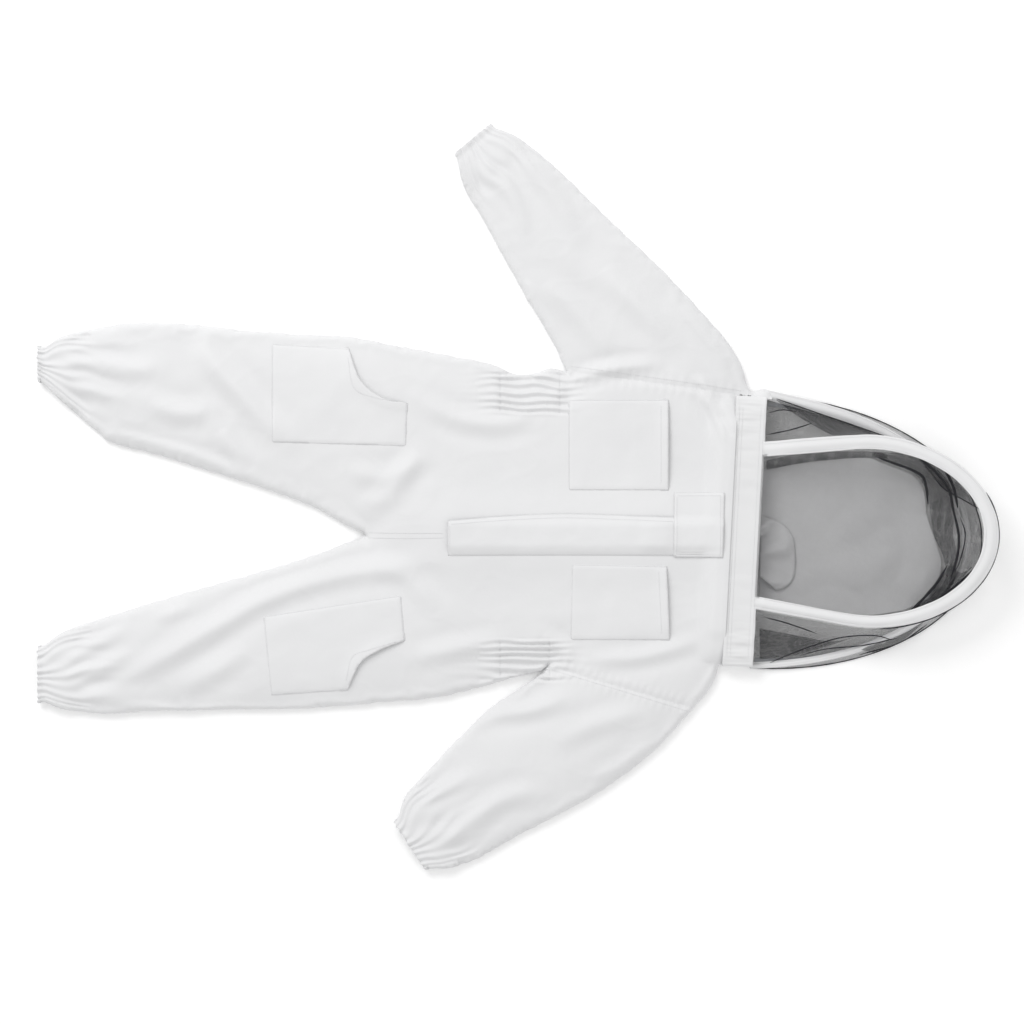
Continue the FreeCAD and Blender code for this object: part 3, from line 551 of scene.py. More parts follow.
def add_mesh(name, verts, faces, smooth=True):
    """A smooth-shaded mesh object."""
    mesh = bpy.data.meshes.new(name)
    mesh.from_pydata([tuple(v) for v in verts], [], [tuple(f) for f in faces])
    mesh.polygons.foreach_set("use_smooth", [smooth] * len(mesh.polygons))
    mesh.update()
    obj = bpy.data.objects.new(name, mesh)
    bpy.context.scene.collection.objects.link(obj)
    return obj


def apply_modifiers(obj):
    """Bake an object's modifiers into its mesh."""
    depsgraph = bpy.context.evaluated_depsgraph_get()
    finished = bpy.data.meshes.new_from_object(obj.evaluated_get(depsgraph))
    old = obj.data
    obj.modifiers.clear()
    obj.data = finished
    bpy.data.meshes.remove(old)


class Surface:
    """The front of some cloths, asked for its height at places of the plane."""

    def __init__(self, objects):
        verts, faces = [], []
        for obj in objects:
            start = len(verts)
            verts += [v.co.copy() for v in obj.data.vertices]
            faces += [[start + i for i in p.vertices] for p in obj.data.polygons]
        self.tree = BVHTree.FromPolygons(verts, faces)

    def one(self, x, y):
        hit = self.tree.ray_cast(Vector((x * MM, y * MM, 0.5)), Vector((0, 0, -1)))
        return hit[0].z / MM if hit[0] is not None else None

    def height(self, x, y, spread=5.0):
        """Height of the cloth averaged over a few places, in millimetres."""
        found = []
        for dx, dy in ((0, 0), (1, 0), (-1, 0), (0, 1), (0, -1)):
            z = self.one(x + dx * spread, y + dy * spread)
            if z is not None:
                found.append(z)
        return sum(found) / len(found) if found else 4.0


# ---------------------------------------------------------------- sewn-on cloths
def fill_outline(loop, step):
    """Triangles over a closed outline: places, faces and which places are on the rim."""
    low, high = loop.min(axis=0), loop.max(axis=0)
    grid = []
    for number, y in enumerate(np.arange(low[1], high[1], step * 0.866)):
        xs = np.arange(low[0] + (number % 2) * step / 2, high[0], step)
        grid.append(np.stack([xs, np.full(len(xs), y)], axis=1))
    grid = np.vstack(grid)
    gap, _ = distance_to_line(grid, np.vstack([loop, loop[:1]]))
    grid = grid[inside_loop(grid, loop) & (gap > step * 0.5)]
    edges = [(i, (i + 1) % len(loop)) for i in range(len(loop))]
    flat = [Vector(p) for p in np.vstack([loop, grid])]
    places, _, faces, _, _, _ = delaunay_2d_cdt(flat, edges, [], 1, 1e-5)
    places = np.array([tuple(p) for p in places])
    turned = []
    for f in faces:
        a, b, c = (places[i] for i in f)
        turn = (b[0] - a[0]) * (c[1] - a[1]) - (b[1] - a[1]) * (c[0] - a[0])
        turned.append(tuple(f) if turn > 0 else tuple(reversed(f)))
    return places, turned


def sheet_over(name, stretches, sewn, step, thick, shape):
    """A doubled cloth over an outline whose sewn stretches sink into what is under them.

    shape gives the height of each place, from the places and their distances to the sewn and free edges."""
    loop = closed_outline(stretches, step)
    places, faces = fill_outline(loop, step)
    gaps = {True: np.full(len(places), 1e3), False: np.full(len(places), 1e3)}
    for index, stretch in enumerate(stretches):
        reach, _ = distance_to_line(places, smooth_line(stretch, step))
        gaps[index in sewn] = np.minimum(gaps[index in sewn], reach)
    z = shape(places, gaps[True], gaps[False])
    obj = add_mesh(name, np.column_stack([places, np.maximum(z, 0.6)]) * MM, faces)
    solid = obj.modifiers.new("Solidify", "SOLIDIFY")
    solid.thickness = thick * MM
    solid.offset = 1.0
    apply_modifiers(obj)
    obj.data.polygons.foreach_set("use_smooth", [True] * len(obj.data.polygons))
    return obj


def add_patch(name, stretches, surface, gape, step, seed):
    """A patch pocket: sewn down but for its mouth, the first stretch, which stands open in the middle."""
    line = smooth_line(stretches[0], step)

    def shape(places, sewn_gap, free_gap):
        heights = np.array([surface.height(x, y, 5.0) for x, y in places])
        reach, along = distance_to_line(places, line)
        middle = np.sin(np.pi * np.clip(along, 0, 1)) ** 0.8
        rise = -0.95 + 2.0 * smoothstep(sewn_gap / 5.0)
        rise += 0.5 * smoothstep(sewn_gap / 25) + 0.5 * noise_at(places, 30, seed) * smoothstep(sewn_gap / 9)
        rise += gape * np.exp(-(reach / 15) ** 2) * middle * smoothstep(sewn_gap / 12)
        hem = smoothstep((14 - free_gap) / 2.5) * 0.45
        pucker = 0.25 * noise_at(places, 8, seed + 4) * np.exp(-sewn_gap / 9)
        return heights + rise + hem + pucker
    return sheet_over(name, stretches, range(1, len(stretches)), step, 0.7, shape)


def peg_faces(base):
    """Faces of a small capped piece made of three rings of four corners, from its first corner."""
    faces = []
    for ring in (0, 4):
        for k in range(4):
            n = (k + 1) % 4
            faces.append((base + ring + k, base + ring + n, base + ring + 4 + n, base + ring + 4 + k))
    faces.append((base + 3, base + 2, base + 1, base))
    faces.append((base + 8, base + 9, base + 10, base + 11))
    return faces


def stitch_run(name, lines, surface, length=2.4, gap=1.1, width=0.42, above=0.25, spread=2.0):
    """Rows of small raised stitches that follow lines over the surface."""
    verts, faces = [], []
    for line in lines:
        dense = smooth_line(line, length + gap)
        for a, b in zip(dense[:-1], dense[1:]):
            d = (b - a) / max(np.linalg.norm(b - a), 1e-9)
            side = np.array([-d[1], d[0]])
            start, end = a, a + d * length
            z0 = surface.height(*start, spread) + above
            z1 = surface.height(*end, spread) + above
            base = len(verts)
            middle = (start + end) / 2
            for place, z, share in ((start, z0, 0.35), (middle, (z0 + z1) / 2, 1.0), (end, z1, 0.35)):
                crown = 0.12 if share == 1 else 0
                for across, up in ((-1, 0.0), (0, 0.75), (1, 0.0), (0, -0.6)):
                    spot = place + side * across * width * share
                    verts.append((spot[0], spot[1], z + up * width * 1.3 * share + crown))
            faces += peg_faces(base)
    return add_mesh(name, np.array(verts) * MM, faces)


def cuff_cloth(name, cuff):
    """The turned-in part of a gathered cuff: its lip and the inner wall behind it."""
    (cx, cy), (dx, dy), _ = CUFFS[cuff]
    middle, half_width = limb_end(cuff)
    steps = [(7.0, 0.5), (5.0, 0.35), (3.4, 0.3), (2.5, 0.8), (2.6, 1.6), (4.0, 2.2), (8.0, 2.4), (12.0, 2.4),
             (16.0, 2.6), (20.0, 3.0), (24.0, 3.6)]
    turns = 200
    verts = []
    for place, inset in steps:
        for turn in range(turns):
            angle = 2 * math.pi * turn / turns
            share = math.cos(angle)
            across, top, bottom = cuff_shape(np.array([share]), np.array([place]), middle, half_width)
            z = (float(top[0]) if angle < math.pi else float(bottom[0]))
            c = float(across[0]) - inset * share
            z = 12.0 + z - inset * math.sin(angle)
            verts.append((cx + dx * place - dy * c, cy + dy * place + dx * c, max(z, 0.4)))
    faces = []
    for row in range(len(steps) - 1):
        for turn in range(turns):
            n = (turn + 1) % turns
            a, b = row * turns + turn, row * turns + n
            faces.append((a, b, b + turns, a + turns))
    return add_mesh(name, np.array(verts) * MM, faces)


# ---------------------------------------------------------------- materials
def new_material(name):
    """An empty node material: its nodes, links and the principled shader."""
    material = bpy.data.materials.new(name)
    material.use_nodes = True
    nodes, links = material.node_tree.nodes, material.node_tree.links
    shader = nodes["Principled BSDF"]
    return material, nodes, links, shader


def math_node(nodes, links, kind, first, second=None):
    """A math node fed by sockets or numbers."""
    node = nodes.new("ShaderNodeMath")
    node.operation = kind
    for slot, value in ((0, first), (1, second)):
        if value is None:
            continue
        if isinstance(value, (int, float)):
            node.inputs[slot].default_value = value
        else:
            links.new(value, node.inputs[slot])
    return node.outputs[0]


def noise_texture(nodes, links, where, scale, detail):
    """A noise texture over a place, by its scale and detail; the socket of its strength."""
    texture = nodes.new("ShaderNodeTexNoise")
    texture.inputs["Scale"].default_value = scale
    texture.inputs["Detail"].default_value = detail
    links.new(where, texture.inputs["Vector"])
    return texture.outputs["Fac"]


def two_tones(nodes, links, strength, low, high, shader, span=(0.0, 1.0)):
    """Base colour that wanders between two tones."""
    ramp = nodes.new("ShaderNodeValToRGB")
    for element, position, colour in zip(ramp.color_ramp.elements, span, (low, high)):
        element.position = position
        element.color = (*colour, 1)
    links.new(strength, ramp.inputs["Fac"])
    links.new(ramp.outputs["Color"], shader.inputs["Base Color"])


def bump_of(nodes, links, height, distance, strength, shader):
    """Relief in the shading from a height."""
    bump = nodes.new("ShaderNodeBump")
    bump.inputs["Distance"].default_value = distance
    bump.inputs["Strength"].default_value = strength
    links.new(height, bump.inputs["Height"])
    links.new(bump.outputs["Normal"], shader.inputs["Normal"])


def wave_height(nodes, links, position, direction, pitch):
    """A sine wave along a direction of object space."""
    dot = nodes.new("ShaderNodeVectorMath")
    dot.operation = "DOT_PRODUCT"
    links.new(position, dot.inputs[0])
    dot.inputs[1].default_value = direction
    turned = math_node(nodes, links, "MULTIPLY", dot.outputs["Value"], 2 * math.pi / pitch)
    return math_node(nodes, links, "SINE", turned)


def cloth_material(name, light, dark, pitch=0.0011, weave=0.35, sheen=0.25, rough=0.82, twill=True):
    """Woven cloth: twill or plain weave in the bump, faint mottling and a soft sheen."""
    material, nodes, links, shader = new_material(name)
    where = nodes.new("ShaderNodeTexCoord").outputs["Object"]
    first = wave_height(nodes, links, where, (0.78, 0.62, 0.2) if twill else (1.0, 0.0, 0.0), pitch)
    second = wave_height(nodes, links, where, (-0.2, 1.0, 0.1), pitch * 0.8)
    if twill:
        woven = math_node(nodes, links, "ADD", first, math_node(nodes, links, "MULTIPLY", second, 0.35))
    else:
        woven = math_node(nodes, links, "MULTIPLY", first, second)
    grain = noise_texture(nodes, links, where, 160.0, 5.0)
    crumple = noise_texture(nodes, links, where, 28.0, 3.0)
    height = math_node(nodes, links, "ADD", math_node(nodes, links, "MULTIPLY", woven, 0.00006 * weave),
                       math_node(nodes, links, "MULTIPLY", grain, 0.00035 * weave))
    height = math_node(nodes, links, "ADD", height, math_node(nodes, links, "MULTIPLY", crumple, 0.0012))
    bump_of(nodes, links, height, 1.0, 0.6, shader)
    mottle = noise_texture(nodes, links, where, 9.0, 6.0)
    two_tones(nodes, links, mottle, dark, light, shader, (0.3, 0.7))
    shader.inputs["Roughness"].default_value = rough
    shader.inputs["Sheen Weight"].default_value = sheen
    shader.inputs["Sheen Roughness"].default_value = 0.5
    shader.inputs["Specular IOR Level"].default_value = 0.25
    return material


def net_material(name, colour, cell=0.0014, strand=0.145, moire=0.07, tint=0.0):
    """Fencing-veil net: a knotted grid that light passes through, with thick and thin places."""
    material, nodes, links, shader = new_material(name)
    where = nodes.new("ShaderNodeTexCoord").outputs["UV"]
    split = nodes.new("ShaderNodeSeparateXYZ")
    links.new(where, split.inputs[0])
    lines = []
    for axis in ("X", "Y"):
        scaled = math_node(nodes, links, "DIVIDE", split.outputs[axis], cell)
        part = math_node(nodes, links, "FRACT", scaled)
        lines.append(math_node(nodes, links, "LESS_THAN", part, strand))
    solid = math_node(nodes, links, "MAXIMUM", lines[0], lines[1])
    cloud = noise_texture(nodes, links, nodes.new("ShaderNodeTexCoord").outputs["Object"], 11.0, 2.0)
    fuzz = math_node(nodes, links, "MULTIPLY", cloud, moire)
    alpha = math_node(nodes, links, "ADD", math_node(nodes, links, "MULTIPLY", solid, 1.0 - tint),
                      math_node(nodes, links, "ADD", fuzz, tint))
    links.new(math_node(nodes, links, "MINIMUM", alpha, 1.0), shader.inputs["Alpha"])
    two_tones(nodes, links, cloud, [c * 0.7 for c in colour], [c * 1.5 for c in colour], shader)
    shader.inputs["Roughness"].default_value = 0.7
    shader.inputs["Sheen Weight"].default_value = 0.15
    shader.inputs["Specular IOR Level"].default_value = 0.2
    return material


def metal_material(name, colour, rough, metallic=1.0):
    """Worn metal or moulded plastic: fine scratches in the bump and patchy roughness."""
    material, nodes, links, shader = new_material(name)
    where = nodes.new("ShaderNodeTexCoord").outputs["Object"]
    patchy = noise_texture(nodes, links, where, 300.0, 4.0)
    span = nodes.new("ShaderNodeMapRange")
    span.inputs["To Min"].default_value = rough * 0.7
    span.inputs["To Max"].default_value = rough * 1.4
    links.new(patchy, span.inputs["Value"])
    links.new(span.outputs["Result"], shader.inputs["Roughness"])
    two_tones(nodes, links, patchy, [c * 0.8 for c in colour], colour, shader)
    bump_of(nodes, links, patchy, 0.0001, 0.3, shader)
    shader.inputs["Metallic"].default_value = metallic
    return material


def paint(obj, material):
    """Give an object its finish."""
    obj.data.materials.clear()
    obj.data.materials.append(material)


def fit(obj, material, slot, body, *nodes):
    """Finish a piece, let it ride on a body and stand for the nodes that it replaces."""
    paint(obj, material)
    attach(obj, body)
    if nodes:
        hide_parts(*nodes)


WHITE = (0.765, 0.766, 0.772)
WHITE_SHADE = (0.745, 0.746, 0.753)
COTTON = cloth_material("cotton_twill", WHITE, WHITE_SHADE)
BAND_CLOTH = cloth_material("band_cotton", (0.765, 0.766, 0.77), (0.74, 0.741, 0.747), pitch=0.0013)
HOOD_CLOTH = cloth_material("hood_back_cotton", (0.76, 0.76, 0.765), (0.72, 0.72, 0.728), twill=False)
TAPE = cloth_material("hoop_tape", (0.78, 0.78, 0.785), (0.75, 0.75, 0.756), pitch=0.0009, weave=0.5)
THREAD = cloth_material("sewing_thread", (0.74, 0.74, 0.75), (0.68, 0.68, 0.69), pitch=0.0006, weave=0.6)
BINDING = cloth_material("seam_binding", (0.035, 0.035, 0.04), (0.02, 0.02, 0.024), pitch=0.001)
ZIP_TAPE = cloth_material("zip_tape_weave", (0.82, 0.82, 0.82), (0.77, 0.77, 0.78), pitch=0.0008, twill=False)
HOOK = cloth_material("hook_and_loop", (0.78, 0.78, 0.78), (0.68, 0.68, 0.69), pitch=0.0007, weave=2.0)
NET = net_material("veil_net", (0.016, 0.016, 0.019))
NET_THICK = net_material("veil_net_doubled", (0.016, 0.016, 0.019), strand=0.24, moire=0.16, tint=0.04)
ZIP_METAL = metal_material("zip_brass", (0.62, 0.52, 0.33), 0.34)
ZIP_PLASTIC = metal_material("zip_teeth_plastic", (0.80, 0.80, 0.80), 0.35, metallic=0.0)
SPRING = metal_material("spring_steel", (0.45, 0.46, 0.48), 0.3)


# ---------------------------------------------------------------- the hood
HOOP_TILT = math.radians(8.0)
HOOP_LEVEL = 37.0


def on_neck(u, v):
    """From the hood's own frame, along and across it, to the row frame."""
    x = NECK_AT[0] + u * math.cos(NECK_TURN) - v * math.sin(NECK_TURN)
    y = NECK_AT[1] + u * math.sin(NECK_TURN) + v * math.cos(NECK_TURN)
    return x, y


def hoop_line(half_base, half_width, straight, crown, middle, count=120, start=-3.0):
    """A hoop's centre line in its own plane: two legs and half an ellipse, from +v round to -v."""
    turn = np.linspace(0, np.pi, 90)
    arc = np.column_stack([straight + crown * np.sin(turn), middle + half_width * np.cos(turn)])
    legs = [arc]
    if straight > start + 1:
        legs = [[[start, middle + half_base]], arc, [[start, middle - half_base]]]
    points = np.vstack(legs)
    gaps = np.concatenate([[0], np.cumsum(np.linalg.norm(np.diff(points, axis=0), axis=1))])
    at = np.linspace(0, gaps[-1], count)
    return np.column_stack([np.interp(at, gaps, points[:, k]) for k in (0, 1)])


def rounded(line, times=6):
    """Soften a line's corners, keeping its ends."""
    line = np.array(line, float)
    for _ in range(times):
        line[1:-1] = (line[:-2] + 2 * line[1:-1] + line[2:]) / 4
    return line


def lift_front(line, above=0.0):
    """Front hoop plane to the row frame."""
    out = []
    for u, v in line:
        x, y = on_neck(u * math.cos(HOOP_TILT), v)
        foot = 6.0 * smoothstep((7 - u) / 8)
        out.append((x, y, HOOP_LEVEL + u * math.sin(HOOP_TILT) + above - foot))
    return np.array(out)


def lift_rear(line, level):
    """Rear hoop plane to the row frame."""
    return np.array([(*on_neck(u, v), level) for u, v in line])


def outward(line):
    """Unit sideways directions of a curve in space, pointing out of the hoop."""
    d = np.gradient(line, axis=0)
    side = np.column_stack([d[:, 1], -d[:, 0], np.zeros(len(d))])
    side /= np.maximum(np.linalg.norm(side, axis=1), 1e-9)[:, None]
    middle = line.mean(axis=0)
    flip = np.sum(side * (line - middle), axis=1).mean()
    return side if flip > 0 else -side


def grid_mesh(name, points, rows, columns, uv=None, closed=False):
    """A mesh over a grid of points, with UVs in metres when they are given."""
    faces = []
    span = columns if closed else columns - 1
    for r in range(rows - 1):
        for c in range(span):
            n = (c + 1) % columns
            a, b = r * columns + c, r * columns + n
            faces.append((a, b, b + columns, a + columns))
    obj = add_mesh(name, np.array(points) * MM, faces)
    if uv is not None:
        layer = obj.data.uv_layers.new(name="UVMap")
        uv = np.array(uv) * MM
        picked = [uv[l.vertex_index] for l in obj.data.loops]
        layer.data.foreach_set("uv", np.array(picked).ravel())
    return obj


def tape_piece(name, line, width, thick, cant=0.0, ridge=1.6, seed=1.0):
    """A sewn tape casing that follows a hoop: padded along its wire, flat hems and two stitch rows."""
    side = outward(line)
    shape = [(-1.0, 0.35), (-0.86, 0.75), (-0.74, 0.62), (-0.55, 1.0), (-0.25, 1.0 + ridge),
             (0.0, 1.15 + ridge), (0.25, 1.0 + ridge), (0.55, 1.0), (0.74, 0.62), (0.86, 0.75), (1.0, 0.35)]
    under = [(1.0, -0.35), (0.5, -0.7), (0.0, -0.8), (-0.5, -0.7), (-1.0, -0.35)]
    ring = shape + under
    points = []
    for i, (place, s) in enumerate(zip(line, side)):
        wave = noise(Vector((place[0] / 34, place[1] / 34, seed)))
        ripple = noise(Vector((place[0] / 9, place[1] / 9, seed + 3)))
        angle = math.radians(cant + 9 * wave)
        across = np.array([s[0] * math.cos(angle), s[1] * math.cos(angle), math.sin(angle)])
        up = np.array([-s[0] * math.sin(angle), -s[1] * math.sin(angle), math.cos(angle)])
        half = np.interp(i / (len(line) - 1), np.linspace(0, 1, len(width)), width) / 2 * (1 + 0.06 * wave)
        for w, h in ring:
            edge = 0.5 * ripple if abs(w) > 0.8 else 0.15 * ripple
            points.append(place + across * w * half + up * (h * thick / 2 + edge))
    obj = grid_mesh(name, np.array(points).reshape(-1, 3), len(line), len(ring), closed=True)
    mesh = obj.data
    extra = bmesh.new()
    extra.from_mesh(mesh)
    for start in (0, (len(line) - 1) * len(ring)):
        extra.verts.ensure_lookup_table()
        extra.faces.new([extra.verts[start + k] for k in range(len(ring))])
    bmesh.ops.recalc_face_normals(extra, faces=extra.faces)
    extra.to_mesh(mesh)
    extra.free()
    mesh.polygons.foreach_set("use_smooth", [True] * len(mesh.polygons))
    return obj


def thread_on(name, line, side, offset, above, pitch=3.6, width=0.42):
    """A row of stitches beside a curve in space."""
    verts, faces = [], []
    gaps = np.concatenate([[0], np.cumsum(np.linalg.norm(np.diff(line, axis=0), axis=1))])
    at = np.arange(pitch, gaps[-1] - pitch, pitch)
    rail = line + side * offset + np.array([0, 0, above])
    spots = np.column_stack([np.interp(at, gaps, rail[:, k]) for k in range(3)])
    sides = np.column_stack([np.interp(at, gaps, side[:, k]) for k in range(3)])
    for place, after, s in zip(spots[:-1], spots[1:], sides):
        forward = after - place
        base = len(verts)
        for share, size in ((0.05, 0.4), (0.36, 1.0), (0.68, 0.4)):
            for across, up in ((-1, 0), (0, 1), (1, 0), (0, -1)):
                verts.append(place + forward * share + s * across * width * size
                             + np.array([0, 0, up * width * size]))
        faces += peg_faces(base)
    return add_mesh(name, np.array(verts) * MM, faces)


def bound_cord(name, lines, radius=1.3):
    """Bound seams and rolled edges: thin soft tubes through points in space, millimetres."""
    verts, faces = [], []
    for line in lines:
        dense = smooth_line(line, 5.0)
        if len(dense) < 3:
            continue
        ahead = np.gradient(dense, axis=0)
        ahead /= np.linalg.norm(ahead, axis=1)[:, None]
        base = len(verts)
        for i, (place, d) in enumerate(zip(dense, ahead)):
            side = np.array([-d[1], d[0], 0.0])
            side /= max(np.linalg.norm(side), 1e-6)
            up = np.cross(side, d)
            taper = min(1.0, 0.35 + 0.25 * min(i, len(dense) - 1 - i))
            size = radius * taper * (1 + 0.3 * noise(Vector(place / 12)))
            for k in range(8):
                turn = k * math.pi / 4
                verts.append(place + side * size * 1.25 * math.cos(turn) + up * size * 0.8 * math.sin(turn))
        for i in range(len(dense) - 1):
            for k in range(8):
                n = (k + 1) % 8
                a, b = base + i * 8 + k, base + i * 8 + n
                faces.append((a, a + 8, b + 8, b))
        faces.append(tuple(base + k for k in range(8)))
        last = base + (len(dense) - 1) * 8
        faces.append(tuple(last + k for k in reversed(range(8))))
    return add_mesh(name, np.array(verts) * MM, faces)


def side_veil(name, front_edge, rear_edge, part, rows=40):
    """The net wall between the hoops: slack, sagging and pleated towards the crown."""
    first, last = part
    front = front_edge[first:last]
    rear = rear_edge[first:last]
    shares = np.linspace(0, 1, rows)
    gaps = np.concatenate([[0], np.cumsum(np.linalg.norm(np.diff(rear, axis=0), axis=1))])
    points, uv = [], []
    for s in shares:
        for i, (f, r) in enumerate(zip(front, rear)):
            place = r + (f - r) * s
            slack = math.sin(math.pi * s)
            crown = smoothstep((place[0] - 520) / 150)
            wrinkle = noise(Vector((gaps[i] / 42, s * 2.2, 3.0)))
            wrinkle += 0.5 * noise(Vector((gaps[i] / 17, s * 3, 8.0)))
            pleat = math.sin(gaps[i] / 6.5 + 5 * s + 2 * wrinkle) * crown
            place = place + np.array([0, 0, slack * (-9 + 7 * wrinkle + 3.0 * pleat)])
            place[:2] += (np.array(on_neck(120, 10)) - place[:2]) * 0.035 * slack * (1 + wrinkle)
            place[2] = max(place[2], 4.0)
            points.append(place)
            uv.append((gaps[i], s * np.linalg.norm(f - r)))
    return grid_mesh(name, np.array(points), rows, len(front), uv)


def flat_net(name, stretches, level, step=8.0, ruffle=1.4, seed=2.0, tilt=None):
    """A net panel over an outline: nearly flat, a little rumpled, with its own grain."""
    loop = closed_outline(stretches, step)
    places, faces = fill_outline(loop, step)
    z = level + ruffle * noise_at(places, 30, seed) + 0.6 * ruffle * noise_at(places, 12, seed + 3)
    if tilt is not None:
        z = z + tilt(places)
    z = np.maximum(z, 0.6)
    obj = add_mesh(name, np.column_stack([places, z]) * MM, faces)
    layer = obj.data.uv_layers.new(name="UVMap")
    picked = [obj.data.vertices[l.vertex_index].co[:2] for l in obj.data.loops]
    layer.data.foreach_set("uv", np.array(picked).ravel())
    return obj


def pleated_net(name, line, widths, level, pleats=5, depth=3.0):
    """A gathered band of net: long soft pleats that run along a path."""
    dense = smooth_line([(x, y) for x, y in line], 5.0)
    count = len(dense)
    ahead = np.gradient(dense, axis=0)
    ahead /= np.linalg.norm(ahead, axis=1)[:, None]
    wide = np.interp(np.linspace(0, 1, count), np.linspace(0, 1, len(widths)), widths)
    high = np.interp(np.linspace(0, 1, count), np.linspace(0, 1, len(level)), level)
    columns = 33
    points, uv = [], []
    for i, (place, d) in enumerate(zip(dense, ahead)):
        side = np.array([-d[1], d[0]])
        for c in range(columns):
            w = c / (columns - 1) * 2 - 1
            wander = 0.12 * noise(Vector((i / 9, w * 2, 1.0)))
            spot = place + side * (w + wander) * wide[i] / 2
            fold = math.cos(w * math.pi * pleats + 2 * noise(Vector((i / 12, w, 5.0))))
            points.append((spot[0], spot[1], high[i] + depth * fold * min(1, wide[i] / 14)))
            uv.append((i * 5.0, w * wide[i] * 0.9))
    return grid_mesh(name, np.array(points), count, columns, uv)


def neck_tube(name, start, end, half, height, middle, lip=1.2, rows=16, turns=420, seed=1.0, crumple=1.0,
              thick=1.8):
    """A flattened tube of doubled cloth round the neck, with creases that run across its width."""
    points = []
    for r in range(rows + 1):
        share = r / rows
        u = start + (end - start) * share
        hem = math.exp(-(min(share, 1 - share) * rows / 1.4) ** 2)
        for t in range(turns):
            a = 2 * math.pi * t / turns
            c, s = math.cos(a), math.sin(a)
            v = middle + half * math.copysign(abs(c) ** 0.55, c)
            z = height / 2 + (height / 2 - 1.0) * math.copysign(abs(s) ** 0.42, s)
            fold = noise(Vector((v / 13, u / 60, seed))) + 0.6 * noise(Vector((v / 5.5, u / 40, seed + 2)))
            ends = 1 + 1.6 * smoothstep((abs(v - middle) - half * 0.62) / (half * 0.3))
            swell = crumple * fold * ends * (0.4 + math.sin(math.pi * share)) + lip * hem
            slope = 0.6 * math.cos(math.pi * share) * noise(Vector((v / 22, 3.0, seed)))
            x, y = on_neck(u + slope, v)
            z = z + swell * (1 if s > 0 else 0.2)
            points.append((x, y, min(max(z, 0.5), height + 3.2)))
    obj = grid_mesh(name, np.array(points), rows + 1, turns, closed=True)
    solid = obj.modifiers.new("Solidify", "SOLIDIFY")
    solid.thickness = thick * MM
    solid.offset = -1.0
    apply_modifiers(obj)
    obj.data.polygons.foreach_set("use_smooth", [True] * len(obj.data.polygons))
    return obj


def add_teeth(name, places, size, alternate=0.0):
    """Small rounded zip elements set at places along a line."""
    verts, faces = [], []
    length, width, height = size
    for number, (x, y, z, turn) in enumerate(places):
        shift = alternate if number % 2 else -alternate
        base = len(verts)
        c, s = math.cos(turn), math.sin(turn)
        for level, inset in ((0.0, 1.0), (0.7, 1.0), (1.0, 0.6)):
            for du, dv in ((-1, -1), (1, -1), (1, 1), (-1, 1)):
                a = du * length / 2 * inset
                b = dv * width / 2 * inset + shift
                verts.append((x + a * c - b * s, y + a * s + b * c, z + level * height))
        faces += peg_faces(base)
    return add_mesh(name, np.array(verts) * MM, faces, smooth=False)


# ---------------------------------------------------------------- putting it together
garment, sewn_edge = make_cloth_mesh(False)
simulate(garment, sewn_edge, 30)
finer = garment.modifiers.new("Subdivision", "SUBSURF")
finer.levels = 1
apply_modifiers(garment)
dress_garment(garment)
cloths = split_garment(garment)
front_surface = Surface([cloths[name] for name in cloths if name.endswith("front")])
FINE = 3.5

SIDE_BODIES = {
    "right_leg": ("torso", "right_shin", (-0.44, 0.151, 0.0), (-0.50, 0.151, 0.0)),
    "left_leg": ("torso", "left_shin", (-0.44, -0.2335, 0.0), (-0.50, -0.2335, 0.0)),
    "right_sleeve": ("torso", "right_sleeve", (0.221, 0.1735, 0.0), (0.2280, 0.2230, 0.0)),
    "left_sleeve": ("torso", "left_sleeve", (0.170, -0.2855, 0.0), (0.1546, -0.3331, 0.0)),
}
STANDS_FOR = {
    "right_leg_front": ["right_front_panel", "right_shin_front", "neck_collar"],
    "left_leg_front": ["left_front_panel", "left_shin_front"],
    "right_leg_back": ["back_panel", "right_shin_back"],
    "left_leg_back": ["left_shin_back"],
    "right_sleeve_front": ["right_sleeve_front"],
    "left_sleeve_front": ["left_sleeve_front"],
    "right_sleeve_back": ["right_sleeve_back"],
    "left_sleeve_back": ["left_sleeve_back"],
}
for name, cloth in cloths.items():
    region = name.rsplit("_", 1)[0]
    parent, child, start, end = SIDE_BODIES[region]
    paint(cloth, COTTON)
    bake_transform(cloth)
    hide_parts(*STANDS_FOR[name])

# Gathered cuffs.
CUFF_BODIES = {"right_ankle": "right_shin", "left_ankle": "left_shin", "right_wrist": "right_sleeve",
               "left_wrist": "left_sleeve"}
for name in CUFFS:
    cuff = cuff_cloth(name + "_cuff_cloth", name)
    scallop(cuff, name)
    fit(cuff, COTTON, "cotton", CUFF_BODIES[name], name + "_cuff", name + "_elastic")

# Waist elastics show as stitch rows over the gathered cloth.
for side, ((cx, cy), half_x, half_y) in zip(("right", "left"), WAIST_ELASTICS):
    rows = [[(cx + shift, cy - half_y), (cx + shift, cy + half_y)]
            for shift in (-half_x, half_x)]
    rows = stitch_run(side + "_waist_stitching", rows, front_surface, spread=1.0)
    fit(rows, THREAD, "cotton", "torso", side + "_waist_elastic")

